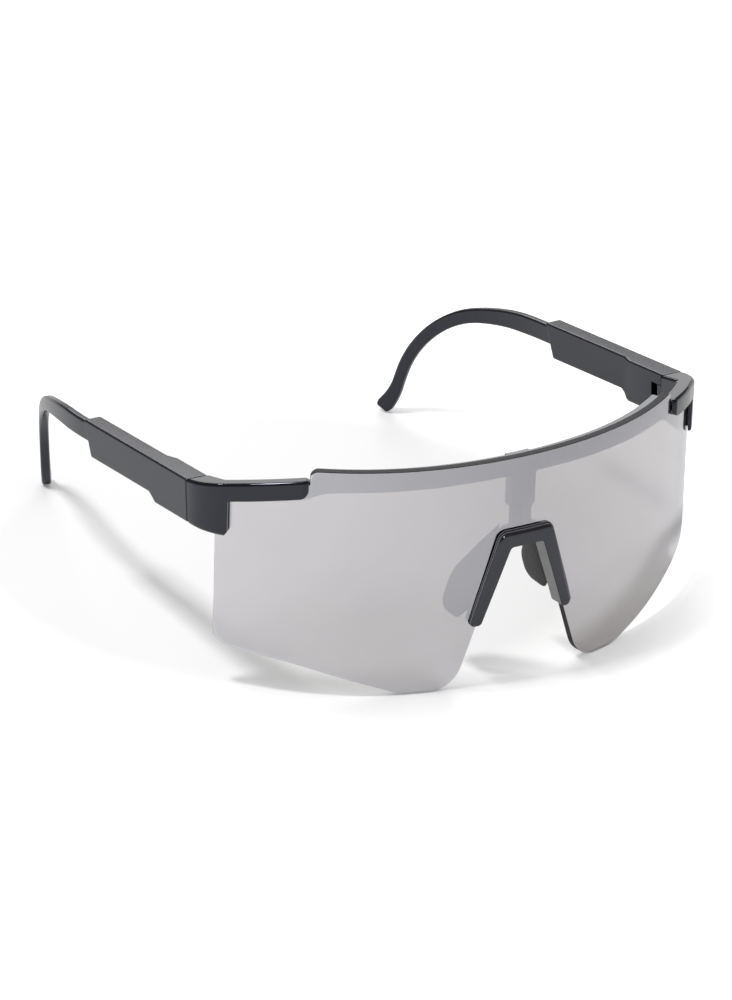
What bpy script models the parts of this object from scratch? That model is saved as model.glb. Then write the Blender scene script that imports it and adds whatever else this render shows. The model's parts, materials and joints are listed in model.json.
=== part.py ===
"""Shield sports sunglasses: one curved lens, a brow frame behind it, clip end pieces, and folding temples
whose hooked tips slide in and out to set the length.

Metres, +Z up. The glasses stand as they do on a table, on the two lobes of the lens and the two temple tips.
The front faces -Y, the temples run back to +Y, and +X is the wearer's left hand side.

Front pieces are drawn flat, as (across, down from the lens's top edge), and then bent to the lens's curve.
Temple pieces are drawn as (back from the seam, down from the temple's top edge) in a frame on the hinge pin.
The side on +X is modelled, and its pieces are mirrored for the other side.
"""
import math

import bmesh
import bpy
from mathutils import Matrix, Vector

MM = 0.001

# Gaps, rounds and steps shared by all pieces
GAP = 0.3 * MM
OVERRUN = 4.0 * MM
WELD = 0.001 * MM
ARC_STEP = math.radians(20)
BEND_STEP = 4.0 * MM
ROUND_SEGMENTS = 2
HOLE_SIDES = 16
HEEL_STEPS = 4
FLAT_ANGLE = math.radians(0.2)
SHARP_ANGLE = math.radians(35)

# Lens
LENS_HALF_WIDTH = 69.1 * MM
LENS_HEIGHT = 58.9 * MM
LENS_THICKNESS = 2.0 * MM
LENS_SAG = 20.65 * MM
LENS_WRAP_SAG = 10.0 * MM
LENS_LEAN = math.radians(2.4)
LENS_END_REACH = 7.75 * MM
NOTCH_WIDTH = 16.8 * MM
LENS_TOP_ROUND = 2.5 * MM
NOTCH_DEPTH_INNER = 3.6 * MM
NOTCH_DEPTH_OUTER = 7.3 * MM
LENS_SIDE_UP = 10.8 * MM
LENS_SIDE_ROUND = 4.0 * MM
LENS_KNEE_IN = 14.1 * MM
LENS_KNEE_UP = 8.2 * MM
LENS_KNEE_ROUND = 60.0 * MM
LOBE_WIDTH = 12.2 * MM
LOBE_OUTER_ROUND = 18.0 * MM
FLANK_SLANT = 0.35
LOBE_INNER_ROUND = 10.0 * MM
CUTOUT_TOP_ACROSS = 5.1 * MM
CUTOUT_TOP_DOWN = 21.2 * MM
CUTOUT_ROUND = 2.0 * MM
LENS_SMALL_ROUND = 0.4 * MM

# Brow frame, a bar behind the lens with a stem in the middle and a gusset at each end
BAR_INSIDE_TOP = 0.4 * MM
BAR_TOP_DOWN = 1.1 * MM
BAR_TOP_ROUND = 2.8 * MM
BAR_BOTTOM_DOWN = 5.3 * MM
BAR_THICKNESS = 2.15 * MM
BAR_END_IN = 6.4 * MM
BAR_END_DOWN = 6.0 * MM
BAR_WAIST_IN = 2.6 * MM
BAR_WAIST_DOWN = 6.35 * MM
BAR_WAIST_ROUND = 4.0 * MM
BAR_FLARE_OUT = 1.1 * MM
BAR_FLARE_DOWN = 8.1 * MM
GUSSET_IN = 4.1 * MM
GUSSET_DOWN = 10.8 * MM
GUSSET_THICKNESS = 1.2 * MM
GUSSET_ROUND = 0.8 * MM
STEM_HALF_WIDTH = 3.7 * MM
STEM_DOWN = 14.3 * MM
STEM_CHAMFER = 0.7 * MM
STEM_THICKNESS = 2.8 * MM
SOCKET_DEPTH = 7.0 * MM

# Nose bridge, the U over the edge of the lens's cut-out, drawn as a front outline and a wider one at the lens
BRIDGE_PROUD_TOP = 1.75 * MM
BRIDGE_PROUD_FOOT = 0.95 * MM
BRIDGE_TOP_DOWN = 19.3 * MM
BRIDGE_TOP_ACROSS = 7.15 * MM
BRIDGE_TOP_ROUND = 2.0 * MM
BRIDGE_FOOT_DOWN = 42.6 * MM
BRIDGE_FOOT_OUTER = 14.4 * MM
BRIDGE_FOOT_INNER = 11.75 * MM
BRIDGE_FOOT_ROUND = 1.3 * MM
BRIDGE_INNER_DOWN = 22.9 * MM
BRIDGE_INNER_ACROSS = 4.55 * MM
BRIDGE_INNER_ROUND = 1.2 * MM
BRIDGE_BASE_TOP_DOWN = 18.4 * MM
BRIDGE_BASE_TOP_ACROSS = 7.4 * MM
BRIDGE_BASE_FOOT_OUTER = 15.4 * MM
BRIDGE_BASE_ROUND = 2.8 * MM
BRIDGE_REAR = 3.0 * MM
BRIDGE_EDGE = 0.35 * MM

# Nose carrier, the plate behind the lens with a tang in the brow frame's stem
CARRIER_THICKNESS = 1.7 * MM
CARRIER_TOP_DOWN = 19.2 * MM
CARRIER_TOP_ACROSS = 3.7 * MM
CARRIER_SHOULDER_DOWN = 22.2 * MM
CARRIER_SHOULDER_ACROSS = 7.5 * MM
CARRIER_FOOT_OUTER = 14.3 * MM
CARRIER_ROUND = 1.0 * MM
TANG_HALF_WIDTH = 2.8 * MM
TANG_THICKNESS = 1.0 * MM
TANG_ROUND = 0.6 * MM

# Nose pads
PAD_THICKNESS = 2.4 * MM
PAD_TOP_DOWN = 20.4 * MM
PAD_TOP_ACROSS = 5.5 * MM
PAD_SHOULDER_BACK = 9.4 * MM
PAD_SHOULDER_DOWN = 25.2 * MM
PAD_SHOULDER_ROUND = 6.0 * MM
PAD_FOOT_DOWN = 42.7 * MM
PAD_FOOT_ACROSS = 12.9 * MM
PAD_BELLY_BACK = 15.4 * MM
PAD_BELLY_DOWN = 34.4 * MM
PAD_BELLY_ROUND = 7.0 * MM
PAD_FOOT_BACK = 8.0 * MM
PAD_FOOT_ROUND = 4.5 * MM
PAD_HEEL_ROUND = 2.0 * MM
PAD_HEEL_DOWN = 38.4 * MM
PAD_EDGE = 0.7 * MM

# End pieces, clips over the lens's upper corners
END_PROUD = 1.25 * MM
END_ARM_OUT = 0.1 * MM
END_ARM_HEIGHT = 4.7 * MM
END_SLOPE = math.radians(13.9)
END_OVERHANG = 3.4 * MM
END_CORNER_IN = 2.6 * MM
END_CORNER_ROUND = 16.0 * MM
END_INNER_IN = 1.1 * MM
END_INNER_ROUND = 1.5 * MM
END_HEIGHT = 11.2 * MM
END_EDGE = 0.5 * MM
ARM_TIP_ROUND = 1.4 * MM
ARM_HEEL_ROUND = 2.4 * MM
TOOTH_IN = 2.25 * MM
TOOTH_ROUND = 1.0 * MM
TOOTH_CHAMFER_WIDTH = 0.65 * MM
TOOTH_CHAMFER_HEIGHT = 1.4 * MM

# Temples as a whole
TEMPLE_TOP_DOWN = 8.06 * MM
TEMPLE_SLOPE = math.radians(7.3)
TEMPLE_SPLAY = math.radians(1.6)

# Sleeves, the front halves of the temples
SLEEVE_LENGTH = 53.4 * MM
SLEEVE_SLANT = 3.4 * MM
SLEEVE_HEIGHT = 9.05 * MM
SLEEVE_THICKNESS = 4.95 * MM
SLEEVE_EDGE = 0.5 * MM
KNUCKLE_HEIGHT = 11.05 * MM
KNUCKLE_THICKNESS = 6.1 * MM
KNUCKLE_LENGTH_BELOW = 16.7 * MM
KNUCKLE_RAMP_BELOW = 3.1 * MM
KNUCKLE_LENGTH_INSIDE = 15.1 * MM
KNUCKLE_RAMP_INSIDE = 3.3 * MM
CHANNEL_START = 8.5 * MM

# Hinges
PIN_BACK = 2.3 * MM
PIN_FROM_INSIDE = 1.7 * MM
PIN_TOP_DOWN = 1.5 * MM
LUG_RADIUS = 1.55 * MM
LUG_DOWN = 3.2 * MM
LUG_HEIGHT = 4.8 * MM
LUG_ROOT = 1.5 * MM
FORK_DEPTH = 5.1 * MM
EAR_RADIUS = 2.1 * MM
HINGE_SCREW_RADIUS = 0.65 * MM
HINGE_HEAD_RADIUS = 1.0 * MM
HINGE_HEAD_HEIGHT = 0.9 * MM
HINGE_HEAD_SINK = 0.2 * MM
HINGE_EASE = 0.15 * MM
DRIVER_WIDTH = 0.35 * MM
DRIVER_DEPTH = 0.4 * MM

# Temple tips
TIP_DOWN = 3.75 * MM
TIP_HEIGHT = 5.05 * MM
TIP_HOOK_HEIGHT = 2.9 * MM
TIP_END_HEIGHT = 4.1 * MM
TIP_THICKNESS = 2.45 * MM
TIP_SHANK_START = 15.0 * MM
TIP_STRAIGHT_BEYOND = 12.4 * MM
TIP_FIRST_RADIUS = 85.6 * MM
TIP_FIRST_TURN = math.radians(11.5)
TIP_HOOK_RADIUS = 30.1 * MM
TIP_HOOK_TURN = math.radians(59.9)
TIP_FLICK_RADIUS = 22.0 * MM
TIP_FLICK_TURN = math.radians(18.7)
TIP_BEND_BEYOND = 3.8 * MM
TIP_BEND_RADIUS = 92.8 * MM
TIP_STATION_STEP = 3.2 * MM
TIP_END_ANGLES = (30, 55, 75)
TIP_EDGE = 0.4 * MM
TIP_TRAVEL_IN = 6.0 * MM
TIP_TRAVEL_OUT = 8.0 * MM

# Stop pins, and the groove in the shank that they ride in
STOP_PIN_RADIUS = 0.6 * MM
STOP_PIN_BACK = 26.5 * MM
STOP_PIN_SINK = 0.2 * MM
GROOVE_DEPTH = 1.2 * MM

# Detent springs, and the notches in the shank that they catch
SPRING_FROM_END = 8.4 * MM
SPRING_LENGTH = 5.0 * MM
SPRING_WIDTH = 1.8 * MM
SPRING_THICKNESS = 0.3 * MM
SPRING_RISE = 0.6 * MM
SPRING_STRIPS = 6
NOTCH_PITCH = 2.0 * MM
NOTCH_DEPTH = 0.5 * MM

# Sizes that follow from the ones above
LENS_TOP_HALF_WIDTH = LENS_HALF_WIDTH - NOTCH_WIDTH
LENS_SIDE_DOWN = LENS_HEIGHT - LENS_SIDE_UP
LENS_KNEE_ACROSS = LENS_HALF_WIDTH - LENS_KNEE_IN
LENS_KNEE_DOWN = LENS_HEIGHT - LENS_KNEE_UP
LENS_REACH = LENS_SAG + LENS_WRAP_SAG + LENS_END_REACH
LOBE_INNER_ACROSS = CUTOUT_TOP_ACROSS + FLANK_SLANT * (LENS_HEIGHT - CUTOUT_TOP_DOWN)
LOBE_OUTER_ACROSS = LOBE_INNER_ACROSS + LOBE_WIDTH
BAR_HALF_WIDTH = LENS_TOP_HALF_WIDTH - BAR_INSIDE_TOP
BAR_END_ACROSS = BAR_HALF_WIDTH - BAR_END_IN
BAR_WAIST_ACROSS = BAR_HALF_WIDTH - BAR_WAIST_IN
BAR_FLARE_ACROSS = BAR_HALF_WIDTH + BAR_FLARE_OUT
GUSSET_ACROSS = LENS_HALF_WIDTH - GUSSET_IN
END_ARM_ACROSS = LENS_TOP_HALF_WIDTH + END_ARM_OUT
END_HALF_WIDTH = LENS_HALF_WIDTH + END_OVERHANG
END_CORNER_ACROSS = LENS_HALF_WIDTH - END_CORNER_IN
END_INNER_ACROSS = LENS_HALF_WIDTH - END_INNER_IN
TOOTH_ACROSS = LENS_HALF_WIDTH - TOOTH_IN
TEMPLE_TOP = LENS_HEIGHT - TEMPLE_TOP_DOWN
TIP_STRAIGHT_END = SLEEVE_LENGTH + TIP_STRAIGHT_BEYOND
TIP_BEND_START = SLEEVE_LENGTH + TIP_BEND_BEYOND
SPRING_BACK = SLEEVE_LENGTH - SPRING_FROM_END
BAR_FRONT = LENS_THICKNESS + GAP
GUSSET_REAR = BAR_FRONT + GUSSET_THICKNESS
BAR_REAR = BAR_FRONT + BAR_THICKNESS
STEM_REAR = BAR_FRONT + STEM_THICKNESS
TANG_REAR = BAR_FRONT + (STEM_THICKNESS + TANG_THICKNESS) / 2
CARRIER_FRONT = TANG_REAR - CARRIER_THICKNESS
END_BOTTOM = TEMPLE_TOP - END_HEIGHT
PIN_INSIDE = KNUCKLE_THICKNESS - PIN_FROM_INSIDE
TIP_INSIDE = (SLEEVE_THICKNESS - TIP_THICKNESS) / 2
CHANNEL_FLOOR = TIP_DOWN + TIP_HEIGHT / 2 + GAP
SPRING_POCKET = SPRING_RISE + SPRING_THICKNESS + GAP

MATERIALS = {
    "lens": ((0.62, 0.62, 0.62, 1), 0.12, 0.9),
    "gloss_black": ((0.018, 0.018, 0.021, 1), 0.14, 0.0),
    "temple_black": ((0.028, 0.028, 0.032, 1), 0.3, 0.0),
    "frame_black": ((0.03, 0.03, 0.034, 1), 0.25, 0.0),
    "rubber": ((0.035, 0.035, 0.038, 1), 0.7, 0.0),
    "steel": ((0.55, 0.55, 0.56, 1), 0.3, 1.0),
}


# Scene, objects and modifiers
def clear_scene():
    """Remove the objects that a new file starts with."""
    for old in list(bpy.data.objects):
        bpy.data.objects.remove(old, do_unlink=True)


def new_collection(name):
    """Collection linked to the scene."""
    collection = bpy.data.collections.new(name)
    bpy.context.scene.collection.children.link(collection)
    return collection


def make_materials():
    """One Principled material for each finish, by name."""
    made = {}
    for name, (color, roughness, metallic) in MATERIALS.items():
        material = bpy.data.materials.new(name)
        material.use_nodes = True
        shader = material.node_tree.nodes["Principled BSDF"]
        shader.inputs["Base Color"].default_value = color
        shader.inputs["Roughness"].default_value = roughness
        shader.inputs["Metallic"].default_value = metallic
        material.diffuse_color = color
        made[name] = material
    return made


def place(obj, parent, matrix=None):
    """Hang an object on its parent, at a matrix in the parent's frame."""
    obj.parent = parent
    obj.matrix_local = matrix or Matrix()


def finish_part(obj, material, parent, matrix=None):
    """Give a piece its material, its smooth shading and its place."""
    obj.data.materials.clear()
    obj.data.materials.append(material)
    obj.data.shade_smooth()
    obj.data.set_sharp_from_angle(angle=SHARP_ANGLE)
    PARTS.objects.link(obj)
    place(obj, parent, matrix)
    return obj


def finish_cutter(obj, parent, matrix=None):
    """Keep a cutter out of sight, in its own collection."""
    CUTTERS.objects.link(obj)
    obj.display_type = "WIRE"
    obj.hide_render = True
    place(obj, parent, matrix)
    return obj


def boolean(target, cutter, operation="DIFFERENCE"):
    """Cut one object with another, or join it."""
    modifier = target.modifiers.new(cutter.name, "BOOLEAN")
    modifier.operation = operation
    modifier.solver = "EXACT"
    modifier.object = cutter


def round_edges(obj, width, angle=math.radians(40)):
    """Bevel the sharp edges."""
    modifier = obj.modifiers.new("edges", "BEVEL")
    modifier.width = width
    modifier.segments = ROUND_SEGMENTS
    modifier.limit_method = "ANGLE"
    modifier.angle_limit = angle
    return modifier


def mesh_object(name, bm):
    """Object around a finished bmesh."""
    mesh = bpy.data.meshes.new(name)
    bm.to_mesh(mesh)
    bm.free()
    return bpy.data.objects.new(name, mesh)


def make_outward(obj):
    """Turn the faces of a closed mesh outwards."""
    bm = bmesh.new()
    bm.from_mesh(obj.data)
    bmesh.ops.recalc_face_normals(bm, faces=bm.faces)
    bm.to_mesh(obj.data)
    bm.free()


def settled(obj):
    """The object's mesh with its modifiers applied, in its own frame."""
    bpy.context.view_layer.update()
    evaluated = obj.evaluated_get(bpy.context.evaluated_depsgraph_get())
    return bpy.data.meshes.new_from_object(evaluated)


def mirrored(obj, name, parent, matrix=None):
    """The same piece for the other side."""
    mesh = settled(obj)
    mesh.name = name
    mesh.transform(Matrix.Scale(-1, 4, Vector((1, 0, 0))))
    mesh.flip_normals()
    twin = bpy.data.objects.new(name, mesh)
    PARTS.objects.link(twin)
    place(twin, parent, matrix)
    return twin


# Outlines
def turned(arm, angle):
    """A plane vector turned by an angle."""
    return Vector((arm.x * math.cos(angle) - arm.y * math.sin(angle),
                   arm.x * math.sin(angle) + arm.y * math.cos(angle)))


def rounded(corners):
    """Closed outline from (x, y, radius) corners, each radius limited by the sides that it joins."""
    outline = []
    for index, (x, y, radius) in enumerate(corners):
        here = Vector((x, y))
        before = Vector(corners[index - 1][:2]) - here
        after = Vector(corners[(index + 1) % len(corners)][:2]) - here
        turn = math.pi - before.angle(after)
        reach = min(radius * math.tan(turn / 2), before.length / 2, after.length / 2)
        if reach < WELD or turn < FLAT_ANGLE:
            outline.append(here)
            continue
        start = here + before.normalized() * reach
        end = here + after.normalized() * reach
        arc_radius = reach / math.tan(turn / 2)
        middle = here + (before.normalized() + after.normalized()).normalized() * (
            arc_radius / math.cos(turn / 2))
        steps = max(math.ceil(turn / ARC_STEP), math.ceil(arc_radius * turn / BEND_STEP))
        way = math.copysign(turn, (start - middle).cross(end - middle))
        for step in range(steps + 1):
            outline.append(middle + turned(start - middle, way * step / steps))
    return outline


def both_sides(corners):
    """Corners of a symmetric outline, from those on +X in order from top to bottom."""
    return corners + [(-x, y, radius) for x, y, radius in reversed(corners)]


def grown(outline, margin):
    """The outline moved outwards by a margin, for a clearance."""
    area = sum(a.cross(b) for a, b in zip(outline, outline[1:] + outline[:1]))
    way = margin if area > 0 else -margin
    moved = []
    for index, here in enumerate(outline):
        into = (here - outline[index - 1]).normalized()
        out = (outline[(index + 1) % len(outline)] - here).normalized()
        normal = Vector((into.y + out.y, -into.x - out.x)).normalized()
        side = Vector((out.y, -out.x))
        moved.append(here + normal * way / normal.dot(side))
    return moved


def flat_solid(name, outline, thickness):
    """Bmesh of an outline extruded to half its thickness on each side of its plane."""
    curve = bpy.data.curves.new(name, "CURVE")
    curve.dimensions = "2D"
    curve.fill_mode = "BOTH"
    curve.extrude = thickness / 2
    spline = curve.splines.new("POLY")
    spline.points.add(len(outline) - 1)
    spline.use_cyclic_u = True
    for point, (x, y) in zip(spline.points, outline):
        point.co = (x, y, 0, 1)
    source = bpy.data.objects.new(name, curve)
    bpy.context.scene.collection.objects.link(source)
    mesh = settled(source)
    bm = bmesh.new()
    bm.from_mesh(mesh)
    bmesh.ops.remove_doubles(bm, verts=bm.verts, dist=WELD)
    bmesh.ops.dissolve_limit(bm, angle_limit=FLAT_ANGLE, verts=bm.verts, edges=bm.edges)
    bpy.data.objects.remove(source)
    bpy.data.meshes.remove(mesh)
    return bm


# The lens's curve
def sag(across):
    """How far back the lens's front lies at a distance from its middle."""
    share = abs(across) / LENS_HALF_WIDTH
    return LENS_SAG * share ** 2 + LENS_WRAP_SAG * share ** 4


def sag_slope(across):
    """Slope of the lens's section there."""
    share = across / LENS_HALF_WIDTH
    return (2 * LENS_SAG * share + 4 * LENS_WRAP_SAG * share ** 3) / LENS_HALF_WIDTH


def bent(across, down, depth):
    """Place of a point of the flat drawing, at a depth behind the lens's front."""
    slope = sag_slope(across)
    length = math.hypot(1, slope)
    x = across - depth * slope / length
    y = sag(across) + depth / length - LENS_REACH - down * math.tan(LENS_LEAN)
    return Vector((x, y, LENS_HEIGHT - down))


def flat_plate(name, outline, front, rear):
    """Plate between two depths behind the lens's front, still flat. Outline points are (across, down)."""
    bm = flat_solid(name, [(across, -down) for across, down in outline], rear - front)
    bmesh.ops.translate(bm, verts=bm.verts, vec=(0, 0, -(front + rear) / 2))
    plate = mesh_object(name, bm)
    CUTTERS.objects.link(plate)
    return plate


def flat_block(name, across, down, depth):
    """Flat plate with four straight sides, from (start, end) pairs."""
    corners = [(across[0], down[0]), (across[1], down[0]), (across[1], down[1]), (across[0], down[1])]
    return flat_plate(name, corners, depth[0], depth[1])


def bend(plate, cutters=(), offset=0.0):
    """Cut a flat plate, divide it into upright strips and bend it to the lens's curve.

    The strips lie a step apart. The offset keeps a cutter's strips clear of those of what it cuts.
    """
    for cutter in cutters:
        boolean(plate, cutter)
    name = plate.name
    mesh = settled(plate)
    bm = bmesh.new()
    bm.from_mesh(mesh)
    reach = max(abs(vertex.co.x) for vertex in bm.verts)
    strips = math.ceil(reach / BEND_STEP)
    for strip in range(-strips, strips + 1):
        geometry = list(bm.verts) + list(bm.edges) + list(bm.faces)
        cut = Vector((strip * BEND_STEP + offset, 0, 0))
        bmesh.ops.bisect_plane(bm, geom=geometry, dist=WELD, plane_co=cut, plane_no=Vector((1, 0, 0)))
    for vertex in bm.verts:
        vertex.co = bent(vertex.co.x, -vertex.co.y, -vertex.co.z)
    bmesh.ops.triangulate(bm, faces=bm.faces)
    for used in (plate, *cutters):
        bpy.data.objects.remove(used)
    bpy.data.meshes.remove(mesh)
    return mesh_object(name, bm)


# Front pieces
def lens_outline():
    """Outline of the shield, with its notched upper corners and its nose cut-out."""
    right = [
        (LENS_TOP_HALF_WIDTH, 0, LENS_TOP_ROUND),
        (LENS_TOP_HALF_WIDTH, NOTCH_DEPTH_INNER, LENS_SMALL_ROUND),
        (LENS_HALF_WIDTH, NOTCH_DEPTH_OUTER, LENS_SMALL_ROUND),
        (LENS_HALF_WIDTH, LENS_SIDE_DOWN, LENS_SIDE_ROUND),
        (LENS_KNEE_ACROSS, LENS_KNEE_DOWN, LENS_KNEE_ROUND),
        (LOBE_OUTER_ACROSS, LENS_HEIGHT, LOBE_OUTER_ROUND),
        (LOBE_INNER_ACROSS, LENS_HEIGHT, LOBE_INNER_ROUND),
        (CUTOUT_TOP_ACROSS, CUTOUT_TOP_DOWN, CUTOUT_ROUND),
    ]
    return rounded(both_sides(right))


def brow_outline():
    """Outline of the bar with its stem and gussets."""
    notch_slope = (NOTCH_DEPTH_OUTER - NOTCH_DEPTH_INNER) / (LENS_HALF_WIDTH - LENS_TOP_HALF_WIDTH)
    gusset_top = NOTCH_DEPTH_INNER + notch_slope * (GUSSET_ACROSS - LENS_TOP_HALF_WIDTH)
    right = [
        (BAR_HALF_WIDTH, BAR_TOP_DOWN, BAR_TOP_ROUND),
        (BAR_HALF_WIDTH, NOTCH_DEPTH_INNER, 0),
        (GUSSET_ACROSS, gusset_top, 0),
        (GUSSET_ACROSS, GUSSET_DOWN, GUSSET_ROUND),
        (BAR_FLARE_ACROSS, BAR_FLARE_DOWN, BAR_WAIST_ROUND),
        (BAR_WAIST_ACROSS, BAR_WAIST_DOWN, BAR_WAIST_ROUND),
        (BAR_END_ACROSS, BAR_END_DOWN, BAR_WAIST_ROUND),
        (STEM_HALF_WIDTH, BAR_BOTTOM_DOWN, STEM_CHAMFER),
        (STEM_HALF_WIDTH, STEM_DOWN - STEM_CHAMFER, 0),
        (STEM_HALF_WIDTH - STEM_CHAMFER, STEM_DOWN, 0),
    ]
    return rounded(both_sides(right))


def make_lens():
    """The shield."""
    return bend(flat_plate("lens", lens_outline(), 0, LENS_THICKNESS))


def flat_lens_clearance(name):
    """The lens with a gap all round, still flat."""
    return flat_plate(name, grown(lens_outline(), GAP), -GAP, LENS_THICKNESS + GAP)


def make_brow_frame():
    """Bar, stem and gussets, thinned behind to each one's own thickness, with a socket in the stem."""
    plate = flat_plate("brow_frame", brow_outline(), BAR_FRONT, STEM_REAR)
    height = (-OVERRUN, GUSSET_DOWN + OVERRUN)
    step = (BAR_HALF_WIDTH + LENS_TOP_HALF_WIDTH) / 2
    outside = GUSSET_ACROSS + OVERRUN
    cutters = []
    for side in (1, -1):
        cutters.append(flat_block("bar_back", (side * STEM_HALF_WIDTH, side * step), height,
                                  (BAR_REAR, STEM_REAR + OVERRUN)))
        cutters.append(flat_block("gusset_back", (side * step, side * outside), height,
                                  (GUSSET_REAR, STEM_REAR + 2 * OVERRUN)))
    half = TANG_HALF_WIDTH + GAP
    cutters.append(flat_block("socket", (-half, half), (STEM_DOWN - SOCKET_DEPTH, STEM_DOWN + OVERRUN),
                              (TANG_REAR - TANG_THICKNESS - GAP, TANG_REAR + GAP)))
    for cutter in cutters:
        make_outward(cutter)
    return bend(plate, cutters)


def lofted_plate(name, sections):
    """Flat solid through outlines with the same number of points, from front to back.

    Each point is (across, down, depth).
    """
    bm = bmesh.new()
    rings = [[bm.verts.new((across, -down, -depth)) for across, down, depth in section]
             for section in sections]
    for ring, following in zip(rings, rings[1:]):
        for index in range(len(ring)):
            bm.faces.new((ring[index - 1], ring[index], following[index], following[index - 1]))
    bm.faces.new(rings[0])
    bm.faces.new(list(reversed(rings[-1])))
    bmesh.ops.recalc_face_normals(bm, faces=bm.faces)
    plate = mesh_object(name, bm)
    CUTTERS.objects.link(plate)
    return plate


def bridge_proud(down):
    """How far the nose bridge's face stands in front of the lens."""
    share = (down - BRIDGE_TOP_DOWN) / (BRIDGE_FOOT_DOWN - BRIDGE_TOP_DOWN)
    return BRIDGE_PROUD_TOP + (BRIDGE_PROUD_FOOT - BRIDGE_PROUD_TOP) * share


def make_nose_bridge():
    """The gloss U with drafted outer walls, which laps over the lens's edge and through its cut-out."""
    inner = [
        (BRIDGE_FOOT_INNER, BRIDGE_FOOT_DOWN, BRIDGE_FOOT_ROUND),
        (BRIDGE_INNER_ACROSS, BRIDGE_INNER_DOWN, BRIDGE_INNER_ROUND),
    ]
    face = rounded(both_sides([
        (BRIDGE_TOP_ACROSS, BRIDGE_TOP_DOWN, BRIDGE_TOP_ROUND),
        (BRIDGE_FOOT_OUTER, BRIDGE_FOOT_DOWN, BRIDGE_FOOT_ROUND),
    ] + inner))
    base = rounded(both_sides([
        (BRIDGE_BASE_TOP_ACROSS, BRIDGE_BASE_TOP_DOWN, BRIDGE_BASE_ROUND),
        (BRIDGE_BASE_FOOT_OUTER, BRIDGE_FOOT_DOWN, BRIDGE_FOOT_ROUND),
    ] + inner))
    plate = lofted_plate("nose_bridge", [
        [(across, down, -bridge_proud(down)) for across, down in grown(face, -BRIDGE_EDGE)],
        [(across, down, BRIDGE_EDGE - bridge_proud(down)) for across, down in face],
        [(across, down, -GAP / 2) for across, down in base],
        [(across, down, BRIDGE_REAR) for across, down in base],
    ])
    lens_space = flat_plate("lens_space", grown(lens_outline(), GAP), -GAP, BRIDGE_REAR + OVERRUN)
    return bend(plate, [lens_space])


def flank_across(down):
    """Where the side of the lens's nose cut-out lies."""
    return CUTOUT_TOP_ACROSS + FLANK_SLANT * (down - CUTOUT_TOP_DOWN)


def make_nose_carrier():
    """The plate behind the lens, with its tang thinned to fit the stem's socket."""
    right = [
        (TANG_HALF_WIDTH, STEM_DOWN - SOCKET_DEPTH + GAP, TANG_ROUND),
        (TANG_HALF_WIDTH, CARRIER_TOP_DOWN, 0),
        (CARRIER_TOP_ACROSS, CARRIER_TOP_DOWN, CARRIER_ROUND),
        (CARRIER_SHOULDER_ACROSS, CARRIER_SHOULDER_DOWN, CARRIER_ROUND),
        (CARRIER_FOOT_OUTER, BRIDGE_FOOT_DOWN, CARRIER_ROUND),
        (flank_across(BRIDGE_FOOT_DOWN), BRIDGE_FOOT_DOWN, CARRIER_ROUND),
        (CUTOUT_TOP_ACROSS, CUTOUT_TOP_DOWN, CUTOUT_ROUND),
    ]
    plate = flat_plate("nose_carrier", rounded(both_sides(right)), CARRIER_FRONT, TANG_REAR)
    tang_front = flat_block("tang_front", (-STEM_HALF_WIDTH, STEM_HALF_WIDTH), (0, STEM_DOWN + GAP),
                            (0, TANG_REAR - TANG_THICKNESS))
    return bend(plate, [tang_front])


def make_nose_pad():
    """Rubber fin behind one leg of the carrier, drawn as (back, down) and slanted like the leg."""
    front = TANG_REAR + GAP
    outline = rounded([
        (front, -PAD_TOP_DOWN, 0),
        (PAD_SHOULDER_BACK, -PAD_SHOULDER_DOWN, PAD_SHOULDER_ROUND),
        (PAD_BELLY_BACK, -PAD_BELLY_DOWN, PAD_BELLY_ROUND),
        (PAD_BELLY_BACK, -PAD_FOOT_DOWN, PAD_FOOT_ROUND),
        (PAD_FOOT_BACK, -PAD_FOOT_DOWN, PAD_HEEL_ROUND),
        (front, -PAD_HEEL_DOWN, 0),
    ])
    bm = flat_solid("nose_pad_left", outline, PAD_THICKNESS)
    slant = (PAD_FOOT_ACROSS - PAD_TOP_ACROSS) / (PAD_FOOT_DOWN - PAD_TOP_DOWN)
    for vertex in bm.verts:
        back, height, aside = vertex.co
        across = PAD_TOP_ACROSS + slant * (-height - PAD_TOP_DOWN)
        root = bent(across, -height, 0)
        vertex.co = root + Vector((aside, back, 0))
    bmesh.ops.recalc_face_normals(bm, faces=bm.faces)
    pad = mesh_object("nose_pad_left", bm)
    round_edges(pad, PAD_EDGE)
    return pad


# End pieces
def end_top(y):
    """Height of an end piece's sloping top."""
    return TEMPLE_TOP - math.tan(END_SLOPE) * y


def curve_run(start, end, depth):
    """Plan points along the lens's curve at a depth, at the level of the temple's top."""
    steps = math.ceil(abs(end - start) / BEND_STEP)
    return [bent(start + (end - start) * step / steps, LENS_HEIGHT - TEMPLE_TOP, depth).xy
            for step in range(steps + 1)]


def end_plan():
    """Plan outline of an end piece, run on past the seam."""
    front = curve_run(END_ARM_ACROSS, END_CORNER_ACROSS, -END_PROUD)
    rear = curve_run(END_INNER_ACROSS, END_ARM_ACROSS, GUSSET_REAR)
    heading = front[-1] - front[-2]
    corner_back = front[-1].y + (END_HALF_WIDTH - front[-1].x) * heading.y / heading.x
    corners = [(front[0].x, front[0].y, ARM_TIP_ROUND)]
    corners += [(point.x, point.y, 0) for point in front[1:-1]]
    corners += [
        (END_HALF_WIDTH, corner_back, END_CORNER_ROUND),
        (END_HALF_WIDTH, corner_back + END_CORNER_ROUND + OVERRUN, 0),
        (END_HALF_WIDTH - KNUCKLE_THICKNESS, corner_back + END_CORNER_ROUND + OVERRUN, 0),
        (rear[0].x, rear[0].y, END_INNER_ROUND),
    ]
    corners += [(point.x, point.y, 0) for point in rear[1:-1]]
    corners += [(rear[-1].x, rear[-1].y, ARM_TIP_ROUND)]
    return rounded(corners)


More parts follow.
